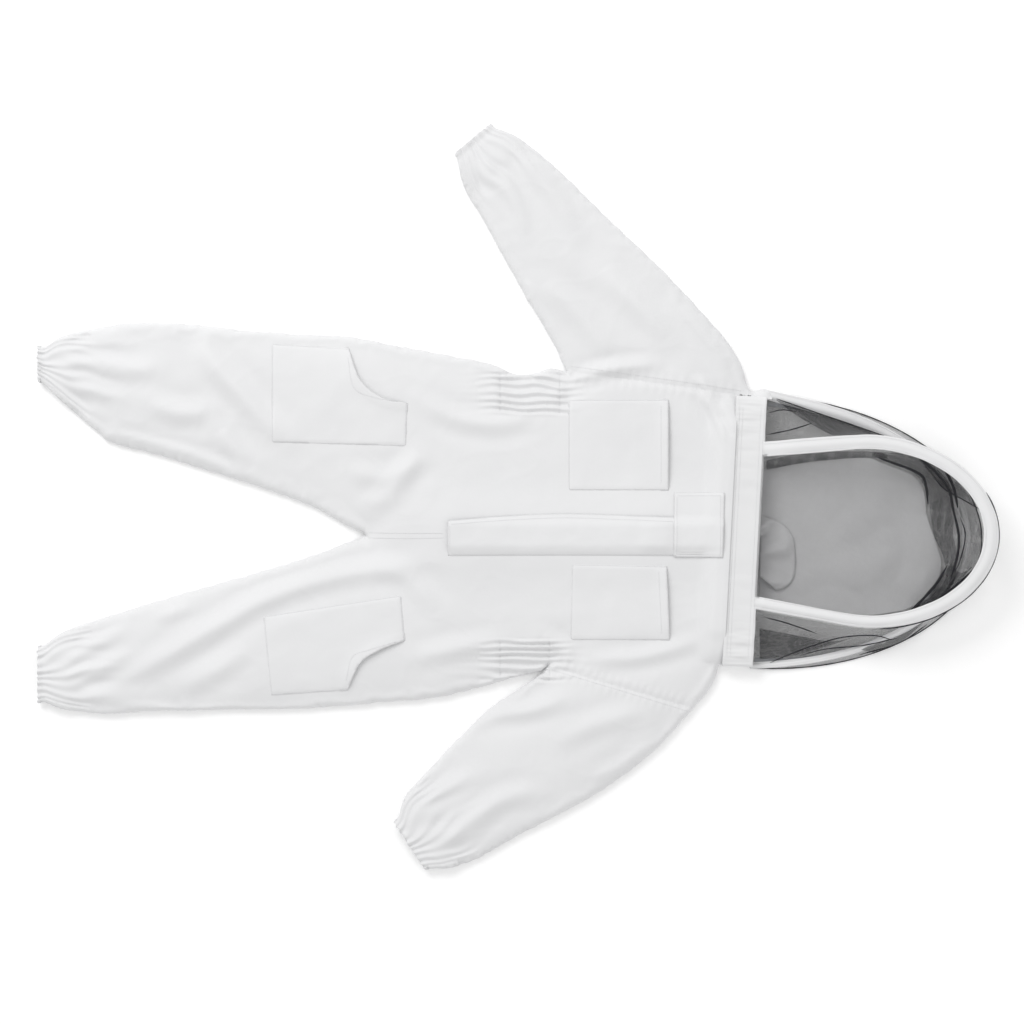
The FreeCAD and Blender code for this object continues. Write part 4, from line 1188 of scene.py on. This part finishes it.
# Patch pockets.
POCKETS = {
    "right_chest_pocket": joined([(236, 150)], [(236, 9)], [(81, 9)], [(81, 150)]),
    "left_chest_pocket": joined([(233, -107)], [(238, -222)], [(84, -222)], [(86, -104)]),
    "right_leg_pocket": joined([(-258, 230), (-239, 180), (-207, 153)], [(-166, 144)], [(-168, 77)],
                                [(-377, 83)], [(-377, 236)]),
    "left_leg_pocket": joined([(-170, -222), (-207, -236), (-239, -257)], [(-260, -300)],
                               [(-378, -308)], [(-390, -185)], [(-176, -152)]),
}
pocket_cloths = {}
for number, (name, stretches) in enumerate(POCKETS.items()):
    chest = "chest" in name
    pocket = add_patch(name + "_cloth", stretches, front_surface, 4.6 if chest else 3.2, FINE,
                       1.0 + number)
    fit(pocket, COTTON, "cotton", "torso", name)
    top = Surface([pocket])
    centre = np.mean([p for s in stretches for p in s], axis=0)
    rows = []
    for index, stretch in enumerate(stretches):
        inset = 13.0 if index == 0 else 2.2
        line = []
        for place in stretch:
            toward = centre - np.array(place, float)
            line.append(tuple(np.array(place) + toward / np.linalg.norm(toward) * inset * 1.2))
        rows.append(line)
    thread = stitch_run(name + "_stitching", rows, top, spread=0.8, above=0.15)
    fit(thread, THREAD, "cotton", "torso")
    pocket_cloths[name] = pocket

# The zip under its placket.
ZIP_START, ZIP_END = -104.0, 300.0
columns = 9
tape_points = []
steps = 90
for i in range(steps + 1):
    x = ZIP_START + (ZIP_END - ZIP_START) * i / steps
    for c in range(columns):
        w = c / (columns - 1) * 2 - 1
        rise = 0.5 * math.exp(-(w / 0.2) ** 2)
        tape_points.append((x, CENTRE_Y + 12.5 * w, 36.1 + rise + 0.12 * noise(Vector((x / 20, w, 2)))))
zip_tape = grid_mesh("zip_tape_cloth", tape_points, steps + 1, columns)
thicken = zip_tape.modifiers.new("Solidify", "SOLIDIFY")
thicken.thickness = 0.5 * MM
apply_modifiers(zip_tape)
fit(zip_tape, ZIP_TAPE, "zip_tape", "torso", "front_zip_tape")
teeth_places = [(x, CENTRE_Y, 36.85, 0.0) for x in np.arange(ZIP_START + 4, ZIP_END - 2, 1.6)]
zip_teeth = add_teeth("zip_teeth_row", teeth_places, (1.15, 3.4, 1.0), alternate=0.55)
fit(zip_teeth, ZIP_PLASTIC, "zip_metal", "torso", "front_zip_teeth")


def cover_cloth(name, stretches, sewn, over_zip, seed, step):
    """A flap of doubled cloth that lies over the zip, sewn down on some sides and free on the others."""
    def shape(places, sewn_gap, free_gap):
        z = np.array([front_surface.height(x, y, 6.0) for x, y in places])
        bridge = over_zip + 0.5 * noise_at(places, 40, seed) + 3.0 * np.exp(-((places[:, 0] - 217) / 22) ** 4)
        share = smoothstep((32 - np.abs(places[:, 1] - CENTRE_Y)) / 19)
        z = np.maximum(z, z * (1 - share) + bridge * share)
        rumple = 0.6 * noise_at(places, 26, seed + 2) + 0.3 * noise_at(places, 11, seed + 5)
        z += -0.95 + 1.7 * smoothstep(sewn_gap / 5) + rumple * smoothstep(sewn_gap / 9)
        z += 0.4 * smoothstep((9 - free_gap) / 3)
        return np.maximum(z, 38.4 * share)
    return sheet_over(name, stretches, sewn, step, 0.9, shape)


PLACKET = joined([(250, -33), (150, -29), (69, -27), (-20, -31)], [(-104, -38)], [(-104, -92), (80, -91)],
                 [(250, -92)])
placket = cover_cloth("placket_cloth", PLACKET, (1, 2), 38.9, 4.0, FINE)
fit(placket, COTTON, "cotton", "placket", "placket")
placket_top = Surface([placket])
placket_thread = stitch_run("placket_stitching", [[(246, -89), (-100, -89)],
                                                  [(246, -39), (150, -35), (69, -33), (-20, -37),
                                                   (-100, -43)],
                                                  [(-101, -46), (-101, -86)]], placket_top, spread=0.8,
                            above=0.15)
fit(placket_thread, THREAD, "cotton", "placket")
THROAT_FLAP = joined([(322, 6)], [(245, 6)], [(243.5, -93)], [(319, -94)])
throat = cover_cloth("throat_flap_cloth", THROAT_FLAP, (0,), 41.0, 7.0, FINE)
fit(throat, COTTON, "cotton", "throat_flap", "throat_flap")
throat_top = Surface([throat])
throat_thread = stitch_run("throat_flap_stitching",
                           [[(316, 0), (315, -90), (248, -89), (249, 0)][k:k + 2] for k in range(4) if k < 3]
                           + [[(316, 1), (250, 1)]], throat_top, spread=0.8, above=0.15)
fit(throat_thread, THREAD, "cotton", "throat_flap")

# Long seams of the suit, stitched through the front cloth.
SEAMS = {
    "right_armhole": [[(86, 201), (150, 192), (250, 178), (350, 163)]],
    "left_armhole": [[(56, -268), (110, -284), (190, -308), (270, -333)]],
    "right_centre": [[(-112, -57), (-170, -57), (-228, -56)]],
    "left_centre": [[(-112, -64), (-170, -65), (-228, -64)]],
}
for name, lines in SEAMS.items():
    seam = stitch_run(name + "_seam_stitching", lines, front_surface, spread=1.2)
    paint(seam, THREAD)
    body = {"right_armhole": "right_sleeve", "left_armhole": "left_sleeve"}.get(name, "torso")
    if body == "torso":
        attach(seam, "torso")
    else:
        parent, child, start, end = SIDE_BODIES[body]
        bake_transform(seam)

# The neck: zip coils and the hood's band.
for name, body, start, end in (("neck_zip_coil", "torso", -56.0, -50.4),
                               ("hood_zip_coil", "hood", -49.2, -44.0)):
    coil = neck_tube(name + "_tape", start, end, 197.0, 31.0, 4.5, lip=0.0, rows=5, crumple=0.1, thick=1.0)
    fit(coil, ZIP_TAPE, "zip_tape", body, name)
band = neck_tube("hood_band_cloth", -47.0, 0.0, 209.0, 35.5, 4.5, seed=4.0, crumple=0.7)
fit(band, BAND_CLOTH, "cotton", "hood", "hood_band")
band_top = Surface([band])
band_rows = []
for u in (-41.0, -36.0, -8.0, -3.0):
    band_rows.append([on_neck(u, v) for v in (-188, -90, 0, 100, 197)])
band_thread = stitch_run("hood_band_stitching", band_rows, band_top, spread=0.8, above=0.1)
fit(band_thread, THREAD, "cotton", "hood")

# Hoops, their tapes and the net between them.
COUNT = 170
front_plane = rounded(hoop_line(118.0, 139.0, 160.0, 195.0, 14.0, COUNT), 30)
rear_plane = rounded(hoop_line(198.0, 198.0, 4.0, 318.0, 4.5, COUNT), 10)
rear_plane[:, 1] += 15 * np.exp(-rear_plane[:, 0] / 70) * (rear_plane[:, 1] > 4.5)
rear_plane[:, 1] -= 9 * np.exp(-rear_plane[:, 0] / 90) * (rear_plane[:, 1] <= 4.5)
front_line = lift_front(front_plane, 2.4)
rear_line = lift_rear(rear_plane, 6.4)
front_out = outward(front_line)
rear_out = outward(rear_line)
FRONT_TAPE_WIDTHS = (23, 23, 22, 21, 22, 23, 22, 19, 18, 20)
REAR_TAPE_WIDTHS = (15, 19, 18, 14, 12, 12, 12, 11, 10, 10)
front_tape = tape_piece("front_hoop_tape", front_line, FRONT_TAPE_WIDTHS, 3.4, cant=-4.0, ridge=1.1, seed=2.0)
fit(front_tape, TAPE, "tape", "front_hoop", "front_hoop_casing")
for offset in (-8.0, -4.6, 4.6, 8.0):
    thread = thread_on(f"front_hoop_stitching_{int(offset * 10) + 100}", front_line, front_out, offset, 2.0)
    fit(thread, THREAD, "tape", "front_hoop")
rear_tape = tape_piece("rear_hoop_tape", rear_line, REAR_TAPE_WIDTHS, 3.0, cant=14.0, ridge=1.0, seed=6.0)
fit(rear_tape, TAPE, "tape", "hood", "rear_hoop_casing")
for offset in (-5.2, 5.2):
    thread = thread_on(f"rear_hoop_stitching_{int(offset * 10) + 100}", rear_line, rear_out, offset, 2.2)
    fit(thread, THREAD, "tape", "hood")

half = COUNT // 2
front_edge = front_line + front_out * 11.2 + np.array([0, 0, -2.6])
rear_edge = rear_line - rear_out * 4.5 + np.array([0, 0, -2.4])
for side, part in (("right", (0, half + 1)), ("left", (half, COUNT))):
    wall = side_veil(side + "_side_net", front_edge, rear_edge, part, 40)
    paint(wall, NET)
    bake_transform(wall)
    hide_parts(side + "_side_veil")

inner = rounded(hoop_line(110.0, 131.0, 160.0, 187.0, 14.0, COUNT), 30)
inner_loop = [tuple(p) for p in inner]
veil_places, veil_faces = fill_outline(np.array(inner_loop), 4.0)
rim_gap, _ = distance_to_line(veil_places, np.vstack([inner_loop, inner_loop[:1]]))
veil_points = []
for (u, v), rim in zip(veil_places, rim_gap):
    fold = noise(Vector((u / 60, v / 26, 2.0))) + 0.4 * noise(Vector((u / 20, v / 14, 6.0)))
    rise = 1.0 + 6.5 * smoothstep(rim / 70) + 1.8 * fold * smoothstep(rim / 20)
    x, y = on_neck(u * math.cos(HOOP_TILT), v)
    veil_points.append((x, y, HOOP_LEVEL + u * math.sin(HOOP_TILT) + rise))
face_net = add_mesh("face_net", np.array(veil_points) * MM, veil_faces)
layer = face_net.data.uv_layers.new(name="UVMap")
picked = [veil_places[l.vertex_index] * MM for l in face_net.data.loops]
layer.data.foreach_set("uv", np.array(picked).ravel())
fit(face_net, NET, "mesh", "front_hoop", "face_veil")

# Back of the hood: the cloth panel, the net round it and the facing of the neck.
BACK_PANEL = joined([(384, 43), (440, 51), (504, 60), (541, 61), (572, 50), (617, 31), (633, 3),
                    (637, -31), (652, -75), (659, -110), (641, -154)], [(602, -176), (540, -184),
                    (470, -180)], [(378, -172), (379, -60)])


def panel_swell(places):
    """Soft cushions of height where the back panel is slack."""
    slack = smoothstep((places[:, 0] - 410) / 70)
    return 10.0 * np.abs(noise_at(places, 75, 9.0)) * slack + 1.0


back_panel = flat_net("hood_back_cloth", BACK_PANEL, 2.0, step=6.0, ruffle=1.3, seed=4.0, tilt=panel_swell)
fit(back_panel, HOOD_CLOTH, "hood_cloth", "hood", "hood_back_panel")
back_rim = hoop_line(211.0, 211.0, 4.0, 342.0, 4.5, 60)
back_rim = [on_neck(u, v) for u, v in back_rim]
BACK_NET = [back_rim, [back_rim[-1], back_rim[0]]]
back_net = flat_net("back_net", BACK_NET, 0.9, step=8.0, ruffle=0.5, seed=7.0)
fit(back_net, NET, "mesh", "hood", "back_veil")

FACING = joined([(377, -28), (400, -36), (418, -46), (430, -65), (433, -95), (430, -126), (418, -140)],
                [(403, -146), (388, -132)], [(377, -122)])


def facing_folds(places):
    """Folds of the neck facing, fanning out from the band."""
    rim, _ = distance_to_line(places, smooth_line(FACING[0], 4.0))
    along = np.clip((places[:, 0] - 377) / 55, 0, 1)
    spread = (places[:, 1] + 85 - 12 * along) / (6.5 + 7.0 * along)
    return smoothstep(rim / 16) * (3.0 + 4.5 * np.cos(spread) + 1.5 * np.cos(2.3 * spread + 1.0))


facing = flat_net("neck_facing_cloth", FACING, 6.4, step=3.5, ruffle=0.6, seed=11.0, tilt=facing_folds)
thicken = facing.modifiers.new("Solidify", "SOLIDIFY")
thicken.thickness = 1.0 * MM
apply_modifiers(facing)
fit(facing, HOOD_CLOTH, "hood_cloth", "hood", "neck_facing")

# Gathered and doubled net near the crown and at the sides.
CROWN_LINE = [(553, 66), (596, 58), (634, 38), (655, 8), (659, -22), (662, -58), (672, -92), (672, -128),
              (648, -158), (612, -180)]
CROWN_WIDTHS = [6, 16, 26, 36, 38, 30, 20, 14, 12, 6]
CROWN_LEVELS = [9, 12, 15, 18, 18, 16, 14, 12, 10, 9]
crown_fold = pleated_net("crown_fold_net", CROWN_LINE, CROWN_WIDTHS, CROWN_LEVELS, pleats=3, depth=2.6)
fit(crown_fold, NET_THICK, "mesh", "hood")
DOUBLED = {
    "crown_corner_net": (joined([(614, 67), (650, 53), (680, 26)], [(716, -20), (689, -5), (661, 12)],
                                [(641, 36)]), 22.0),
    "crown_lower_net": (joined([(672, -104), (688, -118)], [(706, -108), (672, -146), (627, -178)],
                               [(602, -186), (644, -142)]), 20.0),
    "upper_edge_net": (joined([(388, 56), (453, 68)], [(540, 70), (572, 66)], [(576, 58), (538, 60),
                              (453, 53)], [(388, 41)]), 9.0),
    "right_doubled_net": (joined([(402, 150), (450, 134), (500, 117)], [(573, 92), (520, 92)],
                                 [(486, 96), (440, 122)]), 10.0),
    "left_doubled_net": (joined([(378, -204), (430, -214), (486, -224)], [(520, -219), (440, -244)],
                                [(378, -252)]), 9.0),
    "left_outer_net": (joined([(530, -236), (560, -226), (600, -212)], [(636, -190), (600, -222)],
                              [(555, -242)]), 9.5),
}
doubled_nets = []
for name, (stretches, level) in DOUBLED.items():
    doubled = flat_net(name, stretches, level, step=5.0, ruffle=2.2, seed=13.0)
    fit(doubled, NET_THICK, "mesh", "hood")
    doubled_nets.append(doubled)

HEAVY_SEAMS = [
    [(616, 66, 24), (646, 40, 24), (668, 12, 24), (676, -22, 24), (684, -60, 24), (682, -92, 23),
     (672, -128, 20)],
    [(560, 60, 20), (622, 36, 21), (634, 14, 21), (637, -12, 20)],
    [(650, 60, 30), (664, 38, 30), (676, 12, 30), (682, -18, 28)],
    [(666, -108, 20), (646, -140, 18), (603, -186, 16)],
    [(712, -108, 30), (689, -130, 26), (627, -180, 20)],
]
FINE_SEAMS = [
    [(686, -32, 26), (694, -60, 26), (686, -99, 24), (677, -118, 22)],
    [(716, -20, 30), (690, -5, 30), (661, 12, 28), (641, 36, 26)],
    [(394, -257, 9), (440, -238, 10), (500, -219, 11), (553, -215, 11), (583, -222, 9)],
    [(440, -246, 9), (480, -236, 10), (540, -230, 10), (590, -219, 10)],
    [(532, -245, 8), (593, -227, 8), (637, -198, 8)],
    [(404, 151, 11), (450, 135, 11), (500, 118, 12), (575, 92, 12)],
    [(391, 129, 12), (412, 134, 13), (434, 131, 12)],
    [(391, 96, 12), (425, 103, 13), (458, 113, 12)],
    [(386, -187, 12), (420, -196, 12), (466, -212, 11)],
]
for name, lines, radius in (("net_heavy_seams", HEAVY_SEAMS, 1.7), ("net_fine_seams", FINE_SEAMS, 0.75)):
    seams = bound_cord(name, lines, radius)
    fit(seams, BINDING, "mesh", "hood")
rim_cord = bound_cord("back_net_binding", [[(x, y, 1.6) for x, y in back_rim]], 0.7)
fit(rim_cord, BINDING, "mesh", "hood")
crown_part = slice(int(COUNT * 0.42), int(COUNT * 0.78), 5)
edge_cord = bound_cord("front_net_binding", [front_line[crown_part] + front_out[crown_part] * 12.0
                                             + np.array([0, 0, -2.2])], 0.8)
fit(edge_cord, BINDING, "mesh", "front_hoop")

# CAD pieces that stay as they are.
ZIPS = ("front_zip_", "right_neck_", "left_neck_")
ZIP_PIECES = [place + part for place in ZIPS for part in ("slider", "pull")]
KEPT = [(ZIP_METAL, "zip_metal", ZIP_PIECES), (HOOK, "hook_loop", ["hook_patch", "loop_patch"]),
        (SPRING, "spring_steel", ["front_hoop_strip", "rear_hoop_strip"])]
for material, slot, names in KEPT:
    for name in names:
        paint(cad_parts[name], material)

# ---------------------------------------------------------------- what each cloth was cut from
EASE = 1.05


def cut_to_outline(obj, double=True, fullness=1.0):
    """Work out the size of the cut of a cloth from the outline it covers, with ease for its folds.

    The cut's area comes from the ground that the cloth covers; the sizes are worked out and not passed on."""
    ground = np.array([v.co[:2] for v in obj.data.vertices])
    ground -= ground.mean(axis=0)
    _, axes = np.linalg.eigh(ground.T @ ground)
    width, length = np.ptp(ground @ axes, axis=0) * EASE
    shadow = sum(abs(p.normal.z) * p.area for p in obj.data.polygons) / (2 if double else 1)
    area = shadow * EASE * EASE * fullness
    if not 0.31 * width * length < area < width * length:
        width = area / length * 1.01


for name, cloth in cloths.items():
    region = name.rsplit("_", 1)[0]
    cut_to_outline(cloth, double=False)
for name, pocket in pocket_cloths.items():
    cut_to_outline(pocket)
cut_to_outline(placket)
cut_to_outline(throat)
cut_to_outline(face_net, double=False)
cut_to_outline(back_panel, double=False)
cut_to_outline(back_net, double=False)
cut_to_outline(facing)
cut_to_outline(crown_fold, double=False, fullness=1.4)
for doubled in doubled_nets:
    cut_to_outline(doubled, double=False)

# ---------------------------------------------------------------- the table, light and camera
table_mesh = bpy.data.meshes.new("pale_table")
table_mesh.from_pydata([(-6, -6, 0), (6, -6, 0), (6, 6, 0), (-6, 6, 0)], [], [(0, 1, 2, 3)])
table_top = bpy.data.objects.new("pale_table", table_mesh)
bpy.context.scene.collection.objects.link(table_top)
table_top.location.z = -0.0005
table_material, nodes, links, shader = new_material("pale_table")
shader.inputs["Base Color"].default_value = (0.97, 0.97, 0.97, 1)
shader.inputs["Roughness"].default_value = 0.8
shader.inputs["Emission Color"].default_value = (1, 1, 1, 1)
shader.inputs["Emission Strength"].default_value = 0.10
table_top.data.materials.append(table_material)


def area_light(name, place, aim, width, power):
    """A soft square light that looks at a point."""
    data = bpy.data.lights.new(name, "AREA")
    data.size = width
    data.energy = power
    lamp = bpy.data.objects.new(name, data)
    lamp.location = place
    lamp.rotation_euler = (Vector(aim) - Vector(place)).to_track_quat("-Z", "Y").to_euler()
    bpy.context.scene.collection.objects.link(lamp)


area_light("key", (-2.4, 3.9, 4.0), (0, 0, 0), 3.4, 175)
area_light("fill", (3.4, -2.8, 4.2), (0, 0, 0), 4.0, 34)
world = bpy.data.worlds.new("studio")
world.use_nodes = True
world.node_tree.nodes["Background"].inputs["Color"].default_value = (1.0, 1.0, 1.0, 1)
world.node_tree.nodes["Background"].inputs["Strength"].default_value = 0.72
bpy.context.scene.world = world
bpy.context.scene.view_settings.view_transform = "Standard"

camera_data = bpy.data.cameras.new("camera")
camera_data.lens = 135
camera_data.sensor_width = 36
camera_data.clip_end = 50
camera = bpy.data.objects.new("camera", camera_data)
camera.location = (-0.0054, -0.024, 5.95)
bpy.context.scene.collection.objects.link(camera)
bpy.context.scene.camera = camera
